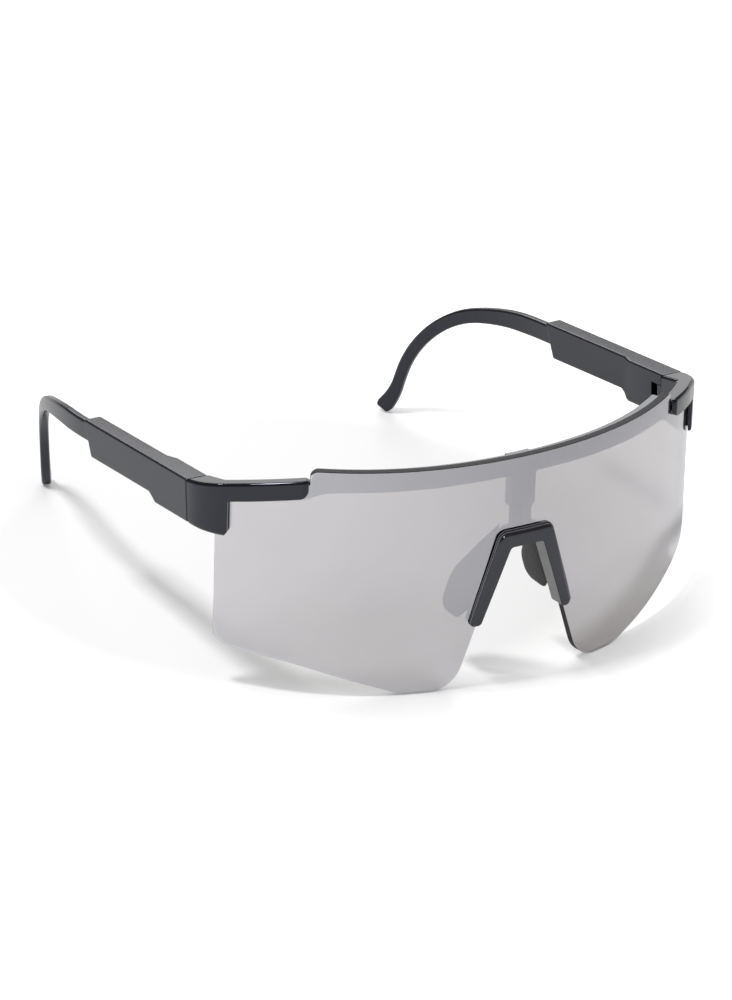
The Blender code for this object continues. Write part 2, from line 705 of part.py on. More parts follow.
def make_end_body():
    """Plan outline raised between the level bottom and the sloping top, leaning with the lens."""
    bm = flat_solid("end_piece_left", end_plan(), END_HEIGHT)
    for vertex in bm.verts:
        level = end_top(vertex.co.y) if vertex.co.z > 0 else END_BOTTOM
        vertex.co.z = level
        vertex.co.y += (level - TEMPLE_TOP) * math.tan(LENS_LEAN)
    body = mesh_object("end_piece_left", bm)
    round_edges(body, END_EDGE)
    return body


def arm_bottom(across):
    """How far down the lower edge of an end piece's arm lies."""
    return LENS_HEIGHT - end_top(bent(across, LENS_HEIGHT - TEMPLE_TOP, -END_PROUD).y) + END_ARM_HEIGHT


def make_below_arm():
    """The space under an end piece's arm, beside its tooth, with the arm's rounded heel."""
    heel_across = END_ARM_ACROSS + ARM_HEEL_ROUND
    heel_down = arm_bottom(heel_across)
    heel = [(heel_across - ARM_HEEL_ROUND * math.cos(angle),
             heel_down - ARM_HEEL_ROUND * (1 - math.sin(angle)), 0)
            for angle in (math.pi / 2 * step / HEEL_STEPS for step in range(HEEL_STEPS + 1))]
    steps = math.ceil((TOOTH_ACROSS - heel_across) / BEND_STEP)
    edge = [heel_across + (TOOTH_ACROSS - heel_across) * step / steps for step in range(1, steps)]
    bottom = LENS_HEIGHT - END_BOTTOM
    outside = END_ARM_ACROSS - OVERRUN
    corners = [(outside, heel[0][1], 0)] + heel + [(across, arm_bottom(across), 0) for across in edge] + [
        (TOOTH_ACROSS, arm_bottom(TOOTH_ACROSS), TOOTH_ROUND),
        (TOOTH_ACROSS, bottom - TOOTH_CHAMFER_HEIGHT, 0),
        (TOOTH_ACROSS + TOOTH_CHAMFER_WIDTH, bottom, 0),
        (TOOTH_ACROSS + TOOTH_CHAMFER_WIDTH, bottom + OVERRUN, 0),
        (outside, bottom + OVERRUN, 0),
    ]
    plate = flat_plate("below_arm", rounded(corners), -END_PROUD - OVERRUN, GUSSET_REAR + OVERRUN)
    return bend(plate, offset=BEND_STEP / 4)


def make_gusset_clearance():
    """The brow frame's gusset with a gap all round."""
    plate = flat_plate("gusset_clearance", grown(brow_outline(), GAP), LENS_THICKNESS, GUSSET_REAR + OVERRUN)
    return bend(plate, offset=BEND_STEP / 2)


def temple_matrix(side):
    """Frame of a temple: x outwards, y back along it and z up, with its origin on the hinge pin."""
    seam = Matrix.Translation((side * END_HALF_WIDTH, 0, TEMPLE_TOP))
    turn = Matrix.Rotation(-TEMPLE_SLOPE, 4, "X") @ Matrix.Rotation(side * TEMPLE_SPLAY, 4, "Z")
    pin = Matrix.Translation((-side * PIN_INSIDE, PIN_BACK, 0))
    return seam @ turn @ pin


def upright_cylinder(name, radius, top, bottom, back=0.0):
    """Cylinder parallel to the hinge pin, between two distances down, at a distance back from the pin."""
    bm = bmesh.new()
    bmesh.ops.create_cone(bm, cap_ends=True, segments=HOLE_SIDES, radius1=radius, radius2=radius,
                          depth=bottom - top)
    bmesh.ops.translate(bm, verts=bm.verts, vec=(0, back, -(top + bottom) / 2))
    return mesh_object(name, bm)


def temple_box(name, inside, back, down):
    """Box in the temple's frame, from (start, end) pairs inwards, back from the seam and down."""
    size = Vector((inside[1] - inside[0], back[1] - back[0], down[1] - down[0]))
    middle = Vector((PIN_INSIDE - sum(inside) / 2, sum(back) / 2 - PIN_BACK, -sum(down) / 2))
    bm = bmesh.new()
    bmesh.ops.create_cube(bm, size=1)
    bmesh.ops.scale(bm, verts=bm.verts, vec=size)
    bmesh.ops.translate(bm, verts=bm.verts, vec=middle)
    return mesh_object(name, bm)


def make_lug():
    """The end piece's hinge knuckle, a rounded tongue that lies in the sleeve's fork."""
    root = -PIN_BACK - LUG_ROOT
    sweep = [math.pi * step / HOLE_SIDES for step in range(HOLE_SIDES + 1)]
    outline = [Vector((LUG_RADIUS, root))]
    outline += [Vector((LUG_RADIUS * math.cos(angle), LUG_RADIUS * math.sin(angle))) for angle in sweep]
    outline += [Vector((-LUG_RADIUS, root))]
    bm = flat_solid("lug", outline, LUG_HEIGHT)
    bmesh.ops.translate(bm, verts=bm.verts, vec=(0, 0, -LUG_DOWN - LUG_HEIGHT / 2))
    return mesh_object("lug", bm)


def make_end_piece():
    """Body, cut by the lens, the gusset, the seam and the space under its arm, with its lug."""
    frame = temple_matrix(1)
    body = make_end_body()
    behind_seam = temple_box("behind_seam", (-OVERRUN, KNUCKLE_THICKNESS + OVERRUN),
                             (-GAP / 2, END_CORNER_ROUND + 2 * OVERRUN), (-OVERRUN, END_HEIGHT + OVERRUN))
    boolean(body, finish_cutter(behind_seam, ROOT, frame))
    boolean(body, finish_cutter(make_below_arm(), ROOT))
    boolean(body, finish_cutter(bend(flat_lens_clearance("lens_clearance")), ROOT))
    boolean(body, finish_cutter(make_gusset_clearance(), ROOT))
    boolean(body, finish_cutter(make_lug(), ROOT, frame), "UNION")
    hole = upright_cylinder("lug_hole", HINGE_SCREW_RADIUS + HINGE_EASE, LUG_DOWN - OVERRUN / 4,
                            LUG_DOWN + LUG_HEIGHT + OVERRUN / 4)
    boolean(body, finish_cutter(hole, ROOT, frame))
    return body


def make_hinge_screw():
    """Turned screw with a driver slot in its head, which faces down."""
    head_bottom = KNUCKLE_HEIGHT - HINGE_HEAD_SINK
    head_top = head_bottom - HINGE_HEAD_HEIGHT
    profile = [(0, PIN_TOP_DOWN), (HINGE_SCREW_RADIUS, PIN_TOP_DOWN), (HINGE_SCREW_RADIUS, head_top),
               (HINGE_HEAD_RADIUS, head_top), (HINGE_HEAD_RADIUS, head_bottom), (0, head_bottom)]
    mesh = bpy.data.meshes.new("hinge_screw_left")
    edges = [(index, index + 1) for index in range(len(profile) - 1)]
    mesh.from_pydata([(x, 0, -down) for x, down in profile], edges, [])
    screw = bpy.data.objects.new("hinge_screw_left", mesh)
    lathe = screw.modifiers.new("lathe", "SCREW")
    lathe.axis = "Z"
    lathe.steps = HOLE_SIDES
    lathe.render_steps = HOLE_SIDES
    lathe.use_merge_vertices = True
    lathe.merge_threshold = WELD
    lathe.use_normal_calculate = True
    slot = temple_box("driver_slot", (PIN_INSIDE - DRIVER_WIDTH / 2, PIN_INSIDE + DRIVER_WIDTH / 2),
                      (PIN_BACK - OVERRUN, PIN_BACK + OVERRUN),
                      (head_bottom - DRIVER_DEPTH, head_bottom + OVERRUN))
    boolean(screw, finish_cutter(slot, ROOT, temple_matrix(1)))
    return screw


# Temples
def side_solid(name, outline, inside, outside):
    """Solid drawn as (back, down) from the seam, between two distances inwards from the outer face."""
    bm = flat_solid(name, [(back, -down) for back, down in outline], inside - outside)
    middle = (inside + outside) / 2
    for vertex in bm.verts:
        back, height, aside = vertex.co
        vertex.co = Vector((aside + PIN_INSIDE - middle, back - PIN_BACK, height))
    return mesh_object(name, bm)


def plan_solid(name, outline, top, bottom):
    """Solid drawn as (inside, back) from the seam's outer edge, between two distances down."""
    drawn = [(PIN_INSIDE - inside, back - PIN_BACK) for inside, back in outline]
    bm = flat_solid(name, drawn, bottom - top)
    bmesh.ops.translate(bm, verts=bm.verts, vec=(0, 0, -(top + bottom) / 2))
    return mesh_object(name, bm)


def make_sleeve():
    """Hollow front half of the temple, with a fork for the hinge and a channel for the tip."""
    ramp_end = KNUCKLE_LENGTH_BELOW + KNUCKLE_RAMP_BELOW
    outline = rounded([
        (GAP / 2, 0, 0),
        (SLEEVE_LENGTH, 0, 0),
        (SLEEVE_LENGTH - SLEEVE_SLANT, SLEEVE_HEIGHT, 0),
        (ramp_end, SLEEVE_HEIGHT, 0),
        (KNUCKLE_LENGTH_BELOW, KNUCKLE_HEIGHT, 0),
        (GAP / 2, KNUCKLE_HEIGHT, 0),
    ])
    sleeve = side_solid("temple_sleeve_left", outline, KNUCKLE_THICKNESS, 0)
    inner_step = plan_solid("inner_step", rounded([
        (KNUCKLE_THICKNESS + OVERRUN, KNUCKLE_LENGTH_INSIDE, 0),
        (KNUCKLE_THICKNESS, KNUCKLE_LENGTH_INSIDE, 0),
        (SLEEVE_THICKNESS, KNUCKLE_LENGTH_INSIDE + KNUCKLE_RAMP_INSIDE, 0),
        (SLEEVE_THICKNESS, SLEEVE_LENGTH + OVERRUN, 0),
        (KNUCKLE_THICKNESS + OVERRUN, SLEEVE_LENGTH + OVERRUN, 0),
    ]), -OVERRUN, KNUCKLE_HEIGHT + OVERRUN)
    frame = temple_matrix(1)
    make_outward(inner_step)
    boolean(sleeve, finish_cutter(inner_step, ROOT, frame))
    round_edges(sleeve, SLEEVE_EDGE, SHARP_ANGLE)
    channel = temple_box("channel", (TIP_INSIDE - GAP, TIP_INSIDE + TIP_THICKNESS + GAP),
                         (CHANNEL_START, SLEEVE_LENGTH + OVERRUN),
                         (TIP_DOWN - TIP_HEIGHT / 2 - GAP, CHANNEL_FLOOR))
    fork = temple_box("fork", (PIN_INSIDE - LUG_RADIUS - GAP, KNUCKLE_THICKNESS + OVERRUN),
                      (-OVERRUN, FORK_DEPTH), (LUG_DOWN - GAP, LUG_DOWN + LUG_HEIGHT + GAP))
    pin_hole = upright_cylinder("pin_hole", HINGE_SCREW_RADIUS + HINGE_EASE, PIN_TOP_DOWN - GAP,
                                KNUCKLE_HEIGHT + OVERRUN)
    head_hole = upright_cylinder("head_hole", HINGE_HEAD_RADIUS + HINGE_EASE,
                                 KNUCKLE_HEIGHT - HINGE_HEAD_SINK - HINGE_HEAD_HEIGHT - HINGE_EASE,
                                 KNUCKLE_HEIGHT + OVERRUN)
    stop_hole = upright_cylinder("stop_hole", STOP_PIN_RADIUS + HINGE_EASE, CHANNEL_FLOOR - OVERRUN / 4,
                                 KNUCKLE_HEIGHT + OVERRUN, STOP_PIN_BACK - PIN_BACK)
    stop_hole.data.transform(Matrix.Translation((PIN_INSIDE - SLEEVE_THICKNESS / 2, 0, 0)))
    pocket = temple_box("spring_pocket",
                        ((SLEEVE_THICKNESS - SPRING_WIDTH) / 2 - GAP,
                         (SLEEVE_THICKNESS + SPRING_WIDTH) / 2 + GAP),
                        (SPRING_BACK - SPRING_LENGTH / 2 - GAP, SPRING_BACK + SPRING_LENGTH / 2 + GAP),
                        (CHANNEL_FLOOR - OVERRUN / 4, CHANNEL_FLOOR + SPRING_POCKET))
    for cutter in (channel, fork, make_ear_round(), pin_hole, head_hole, stop_hole, pocket):
        boolean(sleeve, finish_cutter(cutter, ROOT, frame))
    return sleeve


def make_ear_round():
    """The space that the fork's inner front corner leaves, so that it turns clear of the end piece."""
    sweep = [math.pi / 2 * step / (HOLE_SIDES / 2) for step in range(HOLE_SIDES // 2 + 1)]
    outline = [(PIN_INSIDE + EAR_RADIUS * math.sin(angle), PIN_BACK - EAR_RADIUS * math.cos(angle))
               for angle in sweep]
    far_inside = KNUCKLE_THICKNESS + OVERRUN
    outline += [(far_inside, PIN_BACK), (far_inside, -OVERRUN), (PIN_INSIDE, -OVERRUN)]
    ear = plan_solid("ear_round", outline, -OVERRUN, KNUCKLE_HEIGHT + OVERRUN)
    make_outward(ear)
    return ear


def tip_path():
    """Stations of the tip's centreline as (back, down, heading, height), up to the round end of its foot.

    The leg between the hook and the foot is as long as it takes to reach the ground.
    """
    runs = [
        (TIP_BEND_START - TIP_SHANK_START, 0, TIP_HEIGHT),
        (TIP_STRAIGHT_END - TIP_BEND_START, 0, TIP_HEIGHT),
        (TIP_FIRST_RADIUS * TIP_FIRST_TURN, TIP_FIRST_TURN, (TIP_HEIGHT + TIP_HOOK_HEIGHT) / 2),
        (TIP_HOOK_RADIUS * TIP_HOOK_TURN, TIP_HOOK_TURN, TIP_HOOK_HEIGHT),
        (0, 0, TIP_HOOK_HEIGHT),
        (TIP_FLICK_RADIUS * TIP_FLICK_TURN, -TIP_FLICK_TURN, TIP_END_HEIGHT),
    ]
    without_leg = run_along(runs)
    back, down, heading, height = without_leg[-1]
    end_height = TEMPLE_TOP - back * math.sin(TEMPLE_SLOPE) - down * math.cos(TEMPLE_SLOPE)
    above_ground = end_height - height / 2
    leg_fall = math.sin(TEMPLE_SLOPE + TIP_FIRST_TURN + TIP_HOOK_TURN)
    runs[4] = (above_ground / leg_fall, 0, TIP_HOOK_HEIGHT)
    return run_along(runs)


def run_along(runs):
    """Stations along straight and curved runs, each given as (length, turn, height at its end)."""
    back, down, heading, height = TIP_SHANK_START, TIP_DOWN, 0.0, TIP_HEIGHT
    stations = [(back, down, heading, height)]
    for index, (length, turn, end_height) in enumerate(runs):
        steps = 1 if index == 0 else math.ceil(length / TIP_STATION_STEP)
        for step in range(steps):
            heading += turn / steps / 2
            back += math.cos(heading) * length / steps
            down += math.sin(heading) * length / steps
            heading += turn / steps / 2
            share = (step + 1) / steps
            stations.append((back, down, heading, height + (end_height - height) * share))
        height = end_height
    return stations


def make_tip():
    """Flat blank with a hook, bent inwards behind the ear, with a notched shank in the sleeve."""
    stations = tip_path()
    back, down, heading, height = stations[-1]
    for degrees in TIP_END_ANGLES:
        ahead = height / 2 * math.sin(math.radians(degrees))
        stations.append((back + ahead * math.cos(heading), down + ahead * math.sin(heading),
                         heading, height * math.cos(math.radians(degrees))))
    bm = bmesh.new()
    pairs = []
    for back, down, heading, height in stations:
        pair = []
        for edge in (-1, 1):
            s = back - edge * math.sin(heading) * height / 2
            u = down + edge * math.cos(heading) * height / 2
            inward = max(0, s - TIP_BEND_START) ** 2 / (2 * TIP_BEND_RADIUS)
            pair.append(bm.verts.new((PIN_INSIDE - SLEEVE_THICKNESS / 2 - inward, s - PIN_BACK, -u)))
        pairs.append(pair)
    for (upper, lower), (next_upper, next_lower) in zip(pairs, pairs[1:]):
        bm.faces.new((upper, lower, next_lower, next_upper))
    tip = mesh_object("temple_tip_left", bm)
    thick = tip.modifiers.new("thickness", "SOLIDIFY")
    thick.thickness = TIP_THICKNESS
    thick.offset = 0
    thick.use_even_offset = True
    round_edges(tip, TIP_EDGE, math.radians(60))
    frame = temple_matrix(1)
    for cutter in make_tip_cutters():
        boolean(tip, finish_cutter(cutter, ROOT, frame))
    return tip


def make_tip_cutters():
    """Groove for the stop pin and notches for the detent spring, in the shank's lower edge."""
    lower_edge = TIP_DOWN + TIP_HEIGHT / 2
    ease = STOP_PIN_RADIUS + GAP
    groove = temple_box("stop_groove", (0, SLEEVE_THICKNESS),
                        (STOP_PIN_BACK - TIP_TRAVEL_OUT - ease, STOP_PIN_BACK + TIP_TRAVEL_IN + ease),
                        (lower_edge - GROOVE_DEPTH, lower_edge + OVERRUN))
    cutters = [groove]
    count = round((TIP_TRAVEL_IN + TIP_TRAVEL_OUT) / NOTCH_PITCH) + 1
    for index in range(count):
        back = SPRING_BACK - TIP_TRAVEL_OUT + index * NOTCH_PITCH
        outline = [(back, lower_edge - NOTCH_DEPTH), (back + 2 * NOTCH_DEPTH, lower_edge + NOTCH_DEPTH),
                   (back - 2 * NOTCH_DEPTH, lower_edge + NOTCH_DEPTH)]
        notch = side_solid("notch_%d" % index, outline, SLEEVE_THICKNESS, 0)
        make_outward(notch)
        cutters.append(notch)
    return cutters


def make_stop_pin():
    """Pin pressed into the sleeve's floor from below."""
    top = CHANNEL_FLOOR - GROOVE_DEPTH
    pin = upright_cylinder("stop_pin_left", STOP_PIN_RADIUS, top, SLEEVE_HEIGHT - STOP_PIN_SINK,
                           STOP_PIN_BACK - PIN_BACK)
    pin.data.transform(Matrix.Translation((PIN_INSIDE - SLEEVE_THICKNESS / 2, 0, 0)))
    return pin


def make_spring():
    """Arched steel leaf in its pocket under the shank."""
    foot_down = CHANNEL_FLOOR + SPRING_POCKET - GAP - SPRING_THICKNESS / 2
    sides = ((SLEEVE_THICKNESS - SPRING_WIDTH) / 2, (SLEEVE_THICKNESS + SPRING_WIDTH) / 2)
    bm = bmesh.new()
    rows = []
    for step in range(SPRING_STRIPS + 1):
        share = step / SPRING_STRIPS
        back = SPRING_BACK + (share - 1 / 2) * SPRING_LENGTH
        down = foot_down - SPRING_RISE * math.sin(math.pi * share) ** 2
        rows.append([bm.verts.new((PIN_INSIDE - inside, back - PIN_BACK, -down)) for inside in sides])
    for (a, b), (c, d) in zip(rows, rows[1:]):
        bm.faces.new((a, b, d, c))
    spring = mesh_object("detent_spring_left", bm)
    leaf = spring.modifiers.new("leaf", "SOLIDIFY")
    leaf.thickness = SPRING_THICKNESS
    leaf.offset = 0
    return spring


def build():
    """Make every piece and hang it on its parent."""
    materials = make_materials()
    finish_part(make_lens(), materials["lens"], ROOT)
    finish_part(make_brow_frame(), materials["frame_black"], ROOT)
    finish_part(make_nose_bridge(), materials["gloss_black"], ROOT)
    finish_part(make_nose_carrier(), materials["frame_black"], ROOT)
    for piece, finish in ((make_nose_pad(), "rubber"), (make_end_piece(), "gloss_black")):
        finish_part(piece, materials[finish], ROOT)
        mirrored(piece, piece.name.replace("left", "right"), ROOT)
    hinges = {}
    slides = {}
    for side, word in ((1, "left"), (-1, "right")):
        hinges[word] = bpy.data.objects.new("hinge_" + word, None)
        slides[word] = bpy.data.objects.new("slide_" + word, None)
        for empty in (hinges[word], slides[word]):
            PARTS.objects.link(empty)
        place(hinges[word], ROOT, temple_matrix(side))
        place(slides[word], hinges[word])
    for piece, finish, carriers in (
            (make_hinge_screw(), "steel", hinges), (make_sleeve(), "temple_black", hinges),
            (make_stop_pin(), "steel", hinges), (make_spring(), "steel", hinges),
            (make_tip(), "temple_black", slides)):
        finish_part(piece, materials[finish], carriers["left"])
        mirrored(piece, piece.name.replace("left", "right"), carriers["right"])
    return hinges


def centre_on_origin():
    """Move the root so that the middle of the box is over the origin, with the glasses on the ground."""
    bpy.context.view_layer.update()
    corners = [piece.matrix_world @ vertex.co for piece in PARTS.objects if piece.type == "MESH"
               for vertex in settled(piece).vertices]
    backs = [corner.y for corner in corners]
    heights = [corner.z for corner in corners]
    ROOT.location = (0, -(min(backs) + max(backs)) / 2, -min(heights))
    bpy.context.view_layer.update()


clear_scene()
PARTS = new_collection("shield_sunglasses")
CUTTERS = new_collection("cutters")
ROOT = bpy.data.objects.new("glasses_origin", None)
PARTS.objects.link(ROOT)
HINGES = build()
centre_on_origin()
for word, hinge in HINGES.items():
    pin = hinge.matrix_world
    print("hinge", word, [round(value, 6) for value in pin.translation])
    print("pin", [round(value, 6) for value in pin.col[2].xyz])
    print("slide", [round(value, 6) for value in pin.col[1].xyz])
print("origin shift", [round(value, 6) for value in ROOT.location])
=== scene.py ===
"""Looks of the shield sunglasses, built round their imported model.

Metres, +Z up, in the model's own frame. The visible pieces are drawn from the same sizes as the solids, with
finer steps and softer edges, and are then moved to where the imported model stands.
"""
import json
import math

import bmesh
import bpy
from mathutils import Matrix, Vector

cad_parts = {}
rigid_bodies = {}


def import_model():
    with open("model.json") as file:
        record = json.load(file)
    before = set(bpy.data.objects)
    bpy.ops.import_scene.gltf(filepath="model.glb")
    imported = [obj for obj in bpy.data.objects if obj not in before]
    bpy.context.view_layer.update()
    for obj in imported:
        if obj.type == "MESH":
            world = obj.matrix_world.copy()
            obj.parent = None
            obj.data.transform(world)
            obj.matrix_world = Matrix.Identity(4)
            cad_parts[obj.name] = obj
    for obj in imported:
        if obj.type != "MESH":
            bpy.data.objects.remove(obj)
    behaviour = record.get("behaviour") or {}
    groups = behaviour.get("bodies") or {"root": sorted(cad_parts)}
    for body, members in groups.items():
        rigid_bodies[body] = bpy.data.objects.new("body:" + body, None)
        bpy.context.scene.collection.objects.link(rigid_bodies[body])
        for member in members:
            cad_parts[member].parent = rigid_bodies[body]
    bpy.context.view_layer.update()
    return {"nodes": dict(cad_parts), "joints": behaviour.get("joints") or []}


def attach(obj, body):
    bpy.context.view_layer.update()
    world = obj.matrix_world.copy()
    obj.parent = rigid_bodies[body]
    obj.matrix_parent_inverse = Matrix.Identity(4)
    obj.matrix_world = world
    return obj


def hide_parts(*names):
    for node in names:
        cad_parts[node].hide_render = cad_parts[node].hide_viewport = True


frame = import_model()

MM = 0.001

# Gaps, rounds and steps shared by all pieces
GAP = 0.3 * MM
OVERRUN = 4.0 * MM
WELD = 0.001 * MM
ARC_STEP = math.radians(6)
BEND_STEP = 1.0 * MM
ROUND_SEGMENTS = 4
HOLE_SIDES = 32
HEEL_STEPS = 10
FLAT_ANGLE = math.radians(0.2)
SHARP_ANGLE = math.radians(32)
EDGE_ANGLE = math.radians(40)
FACING = 0.5

# Lens
LENS_HALF_WIDTH = 69.1 * MM
LENS_HEIGHT = 58.9 * MM
LENS_THICKNESS = 2.0 * MM
LENS_SAG = 20.65 * MM
LENS_WRAP_SAG = 10.0 * MM
LENS_LEAN = math.radians(2.4)
LENS_END_REACH = 7.75 * MM
NOTCH_WIDTH = 16.8 * MM
LENS_TOP_ROUND = 2.5 * MM
NOTCH_DEPTH_INNER = 3.6 * MM
NOTCH_DEPTH_OUTER = 7.3 * MM
LENS_SIDE_UP = 10.8 * MM
LENS_SIDE_ROUND = 4.0 * MM
LENS_KNEE_IN = 14.1 * MM
LENS_KNEE_UP = 8.2 * MM
LENS_KNEE_ROUND = 60.0 * MM
LOBE_WIDTH = 12.2 * MM
LOBE_OUTER_ROUND = 18.0 * MM
FLANK_SLANT = 0.35
LOBE_INNER_ROUND = 10.0 * MM
CUTOUT_TOP_ACROSS = 5.1 * MM
CUTOUT_TOP_DOWN = 21.2 * MM
CUTOUT_ROUND = 2.0 * MM
LENS_SMALL_ROUND = 0.4 * MM

# Brow frame, a bar behind the lens with a stem in the middle and a gusset at each end
BAR_INSIDE_TOP = 0.4 * MM
BAR_TOP_DOWN = 1.1 * MM
BAR_TOP_ROUND = 2.8 * MM
BAR_BOTTOM_DOWN = 5.3 * MM
BAR_THICKNESS = 2.15 * MM
BAR_END_IN = 6.4 * MM
BAR_END_DOWN = 6.0 * MM
BAR_WAIST_IN = 2.6 * MM
BAR_WAIST_DOWN = 6.35 * MM
BAR_WAIST_ROUND = 4.0 * MM
BAR_FLARE_OUT = 1.1 * MM
BAR_FLARE_DOWN = 8.1 * MM
GUSSET_IN = 4.1 * MM
GUSSET_DOWN = 10.8 * MM
GUSSET_THICKNESS = 1.2 * MM
GUSSET_ROUND = 0.8 * MM
STEM_HALF_WIDTH = 3.45 * MM
STEM_DOWN = 14.3 * MM
STEM_CHAMFER = 0.7 * MM
STEM_THICKNESS = 2.8 * MM
SOCKET_DEPTH = 7.0 * MM

# Nose bridge, the U over the edge of the lens's cut-out, drawn as a front outline and a wider one at the lens
BRIDGE_PROUD_TOP = 1.75 * MM
BRIDGE_PROUD_FOOT = 0.95 * MM
BRIDGE_TOP_DOWN = 19.3 * MM
BRIDGE_TOP_ACROSS = 7.15 * MM
BRIDGE_TOP_ROUND = 2.0 * MM
BRIDGE_FOOT_DOWN = 42.6 * MM
BRIDGE_FOOT_OUTER = 14.4 * MM
BRIDGE_FOOT_INNER = 11.75 * MM
BRIDGE_FOOT_ROUND = 1.3 * MM
BRIDGE_INNER_DOWN = 22.9 * MM
BRIDGE_INNER_ACROSS = 4.55 * MM
BRIDGE_INNER_ROUND = 1.2 * MM
BRIDGE_BASE_TOP_DOWN = 18.4 * MM
BRIDGE_BASE_TOP_ACROSS = 7.4 * MM
BRIDGE_BASE_FOOT_OUTER = 15.4 * MM
BRIDGE_BASE_ROUND = 2.8 * MM
BRIDGE_REAR = 3.0 * MM
BRIDGE_EDGE = 0.35 * MM

# Nose carrier, the plate behind the lens with a tang in the brow frame's stem
CARRIER_THICKNESS = 1.7 * MM
CARRIER_TOP_DOWN = 18.8 * MM
CARRIER_TOP_ACROSS = 3.7 * MM
CARRIER_SHOULDER_DOWN = 20.6 * MM
CARRIER_SHOULDER_ACROSS = 7.5 * MM
CARRIER_FOOT_OUTER = 14.3 * MM
CARRIER_ROUND = 1.0 * MM
TANG_HALF_WIDTH = 2.8 * MM
TANG_THICKNESS = 1.0 * MM
TANG_ROUND = 0.6 * MM

# Nose pads
PAD_THICKNESS = 2.4 * MM
PAD_TOP_DOWN = 20.4 * MM
PAD_TOP_ACROSS = 5.5 * MM
PAD_SHOULDER_BACK = 9.4 * MM
PAD_SHOULDER_DOWN = 25.2 * MM
PAD_SHOULDER_ROUND = 6.0 * MM
PAD_FOOT_DOWN = 42.7 * MM
PAD_FOOT_ACROSS = 12.9 * MM
PAD_BELLY_BACK = 15.4 * MM
PAD_BELLY_DOWN = 34.4 * MM
PAD_BELLY_ROUND = 7.0 * MM
PAD_FOOT_BACK = 8.0 * MM
PAD_FOOT_ROUND = 3.2 * MM
PAD_HEEL_ROUND = 2.0 * MM
PAD_HEEL_DOWN = 38.4 * MM

# End pieces, clips over the lens's upper corners
END_PROUD = 1.25 * MM
END_ARM_OUT = 0.1 * MM
END_ARM_HEIGHT = 4.7 * MM
END_SLOPE = math.radians(13.9)
END_OVERHANG = 3.4 * MM
END_CORNER_IN = 2.6 * MM
END_CORNER_ROUND = 16.0 * MM
END_INNER_IN = 1.1 * MM
END_INNER_ROUND = 1.5 * MM
END_HEIGHT = 11.2 * MM
END_EDGE = 1.0 * MM
ARM_TIP_ROUND = 1.4 * MM
ARM_HEEL_ROUND = 2.4 * MM
TOOTH_IN = 2.25 * MM
TOOTH_ROUND = 1.0 * MM
TOOTH_CHAMFER_WIDTH = 0.65 * MM
TOOTH_CHAMFER_HEIGHT = 1.4 * MM

# Temples as a whole
TEMPLE_TOP_DOWN = 8.06 * MM
TEMPLE_SLOPE = math.radians(7.3)
TEMPLE_SPLAY = math.radians(1.6)

# Sleeves, the front halves of the temples
SLEEVE_LENGTH = 53.4 * MM
SLEEVE_SLANT = 3.4 * MM
SLEEVE_HEIGHT = 9.05 * MM
SLEEVE_THICKNESS = 4.95 * MM
SLEEVE_EDGE = 0.6 * MM
KNUCKLE_HEIGHT = 11.05 * MM
KNUCKLE_THICKNESS = 6.1 * MM
KNUCKLE_LENGTH_BELOW = 16.7 * MM
KNUCKLE_RAMP_BELOW = 3.1 * MM
KNUCKLE_LENGTH_INSIDE = 15.1 * MM
KNUCKLE_RAMP_INSIDE = 3.3 * MM
CHANNEL_START = 8.5 * MM

# Hinges
PIN_BACK = 2.3 * MM
PIN_FROM_INSIDE = 1.7 * MM
PIN_TOP_DOWN = 1.5 * MM
LUG_RADIUS = 1.55 * MM
LUG_DOWN = 3.2 * MM
LUG_HEIGHT = 4.8 * MM
LUG_ROOT = 1.5 * MM
FORK_DEPTH = 5.1 * MM
EAR_RADIUS = 2.1 * MM
HINGE_SCREW_RADIUS = 0.65 * MM
HINGE_HEAD_RADIUS = 1.0 * MM
HINGE_HEAD_HEIGHT = 0.9 * MM
HINGE_HEAD_SINK = 0.2 * MM
HINGE_EASE = 0.15 * MM

# Temple tips
TIP_DOWN = 3.75 * MM
TIP_HEIGHT = 5.05 * MM
TIP_HOOK_HEIGHT = 2.9 * MM
TIP_END_HEIGHT = 4.1 * MM
TIP_THICKNESS = 2.45 * MM
TIP_SHANK_START = 15.0 * MM
TIP_STRAIGHT_BEYOND = 12.4 * MM
TIP_FIRST_RADIUS = 85.6 * MM
TIP_FIRST_TURN = math.radians(11.5)
TIP_HOOK_RADIUS = 30.1 * MM
TIP_HOOK_TURN = math.radians(59.9)
TIP_FLICK_RADIUS = 22.0 * MM
TIP_FLICK_TURN = math.radians(18.7)
TIP_BEND_BEYOND = 3.8 * MM
TIP_BEND_RADIUS = 92.8 * MM
TIP_STATION_STEP = 1.0 * MM
TIP_END_ANGLES = (25, 50)
TIP_EDGE = 0.85 * MM
TIP_EDGE_ANGLE = math.radians(60)
TIP_TRAVEL_IN = 6.0 * MM
TIP_TRAVEL_OUT = 8.0 * MM

# Stop pins, and the groove in the shank that they ride in
STOP_PIN_RADIUS = 0.6 * MM
STOP_PIN_BACK = 26.5 * MM
GROOVE_DEPTH = 1.2 * MM

# Detent springs, and the notches in the shank that they catch
SPRING_FROM_END = 8.4 * MM
SPRING_LENGTH = 5.0 * MM
SPRING_WIDTH = 1.8 * MM
SPRING_THICKNESS = 0.3 * MM
SPRING_RISE = 0.6 * MM
NOTCH_PITCH = 2.0 * MM
NOTCH_DEPTH = 0.5 * MM

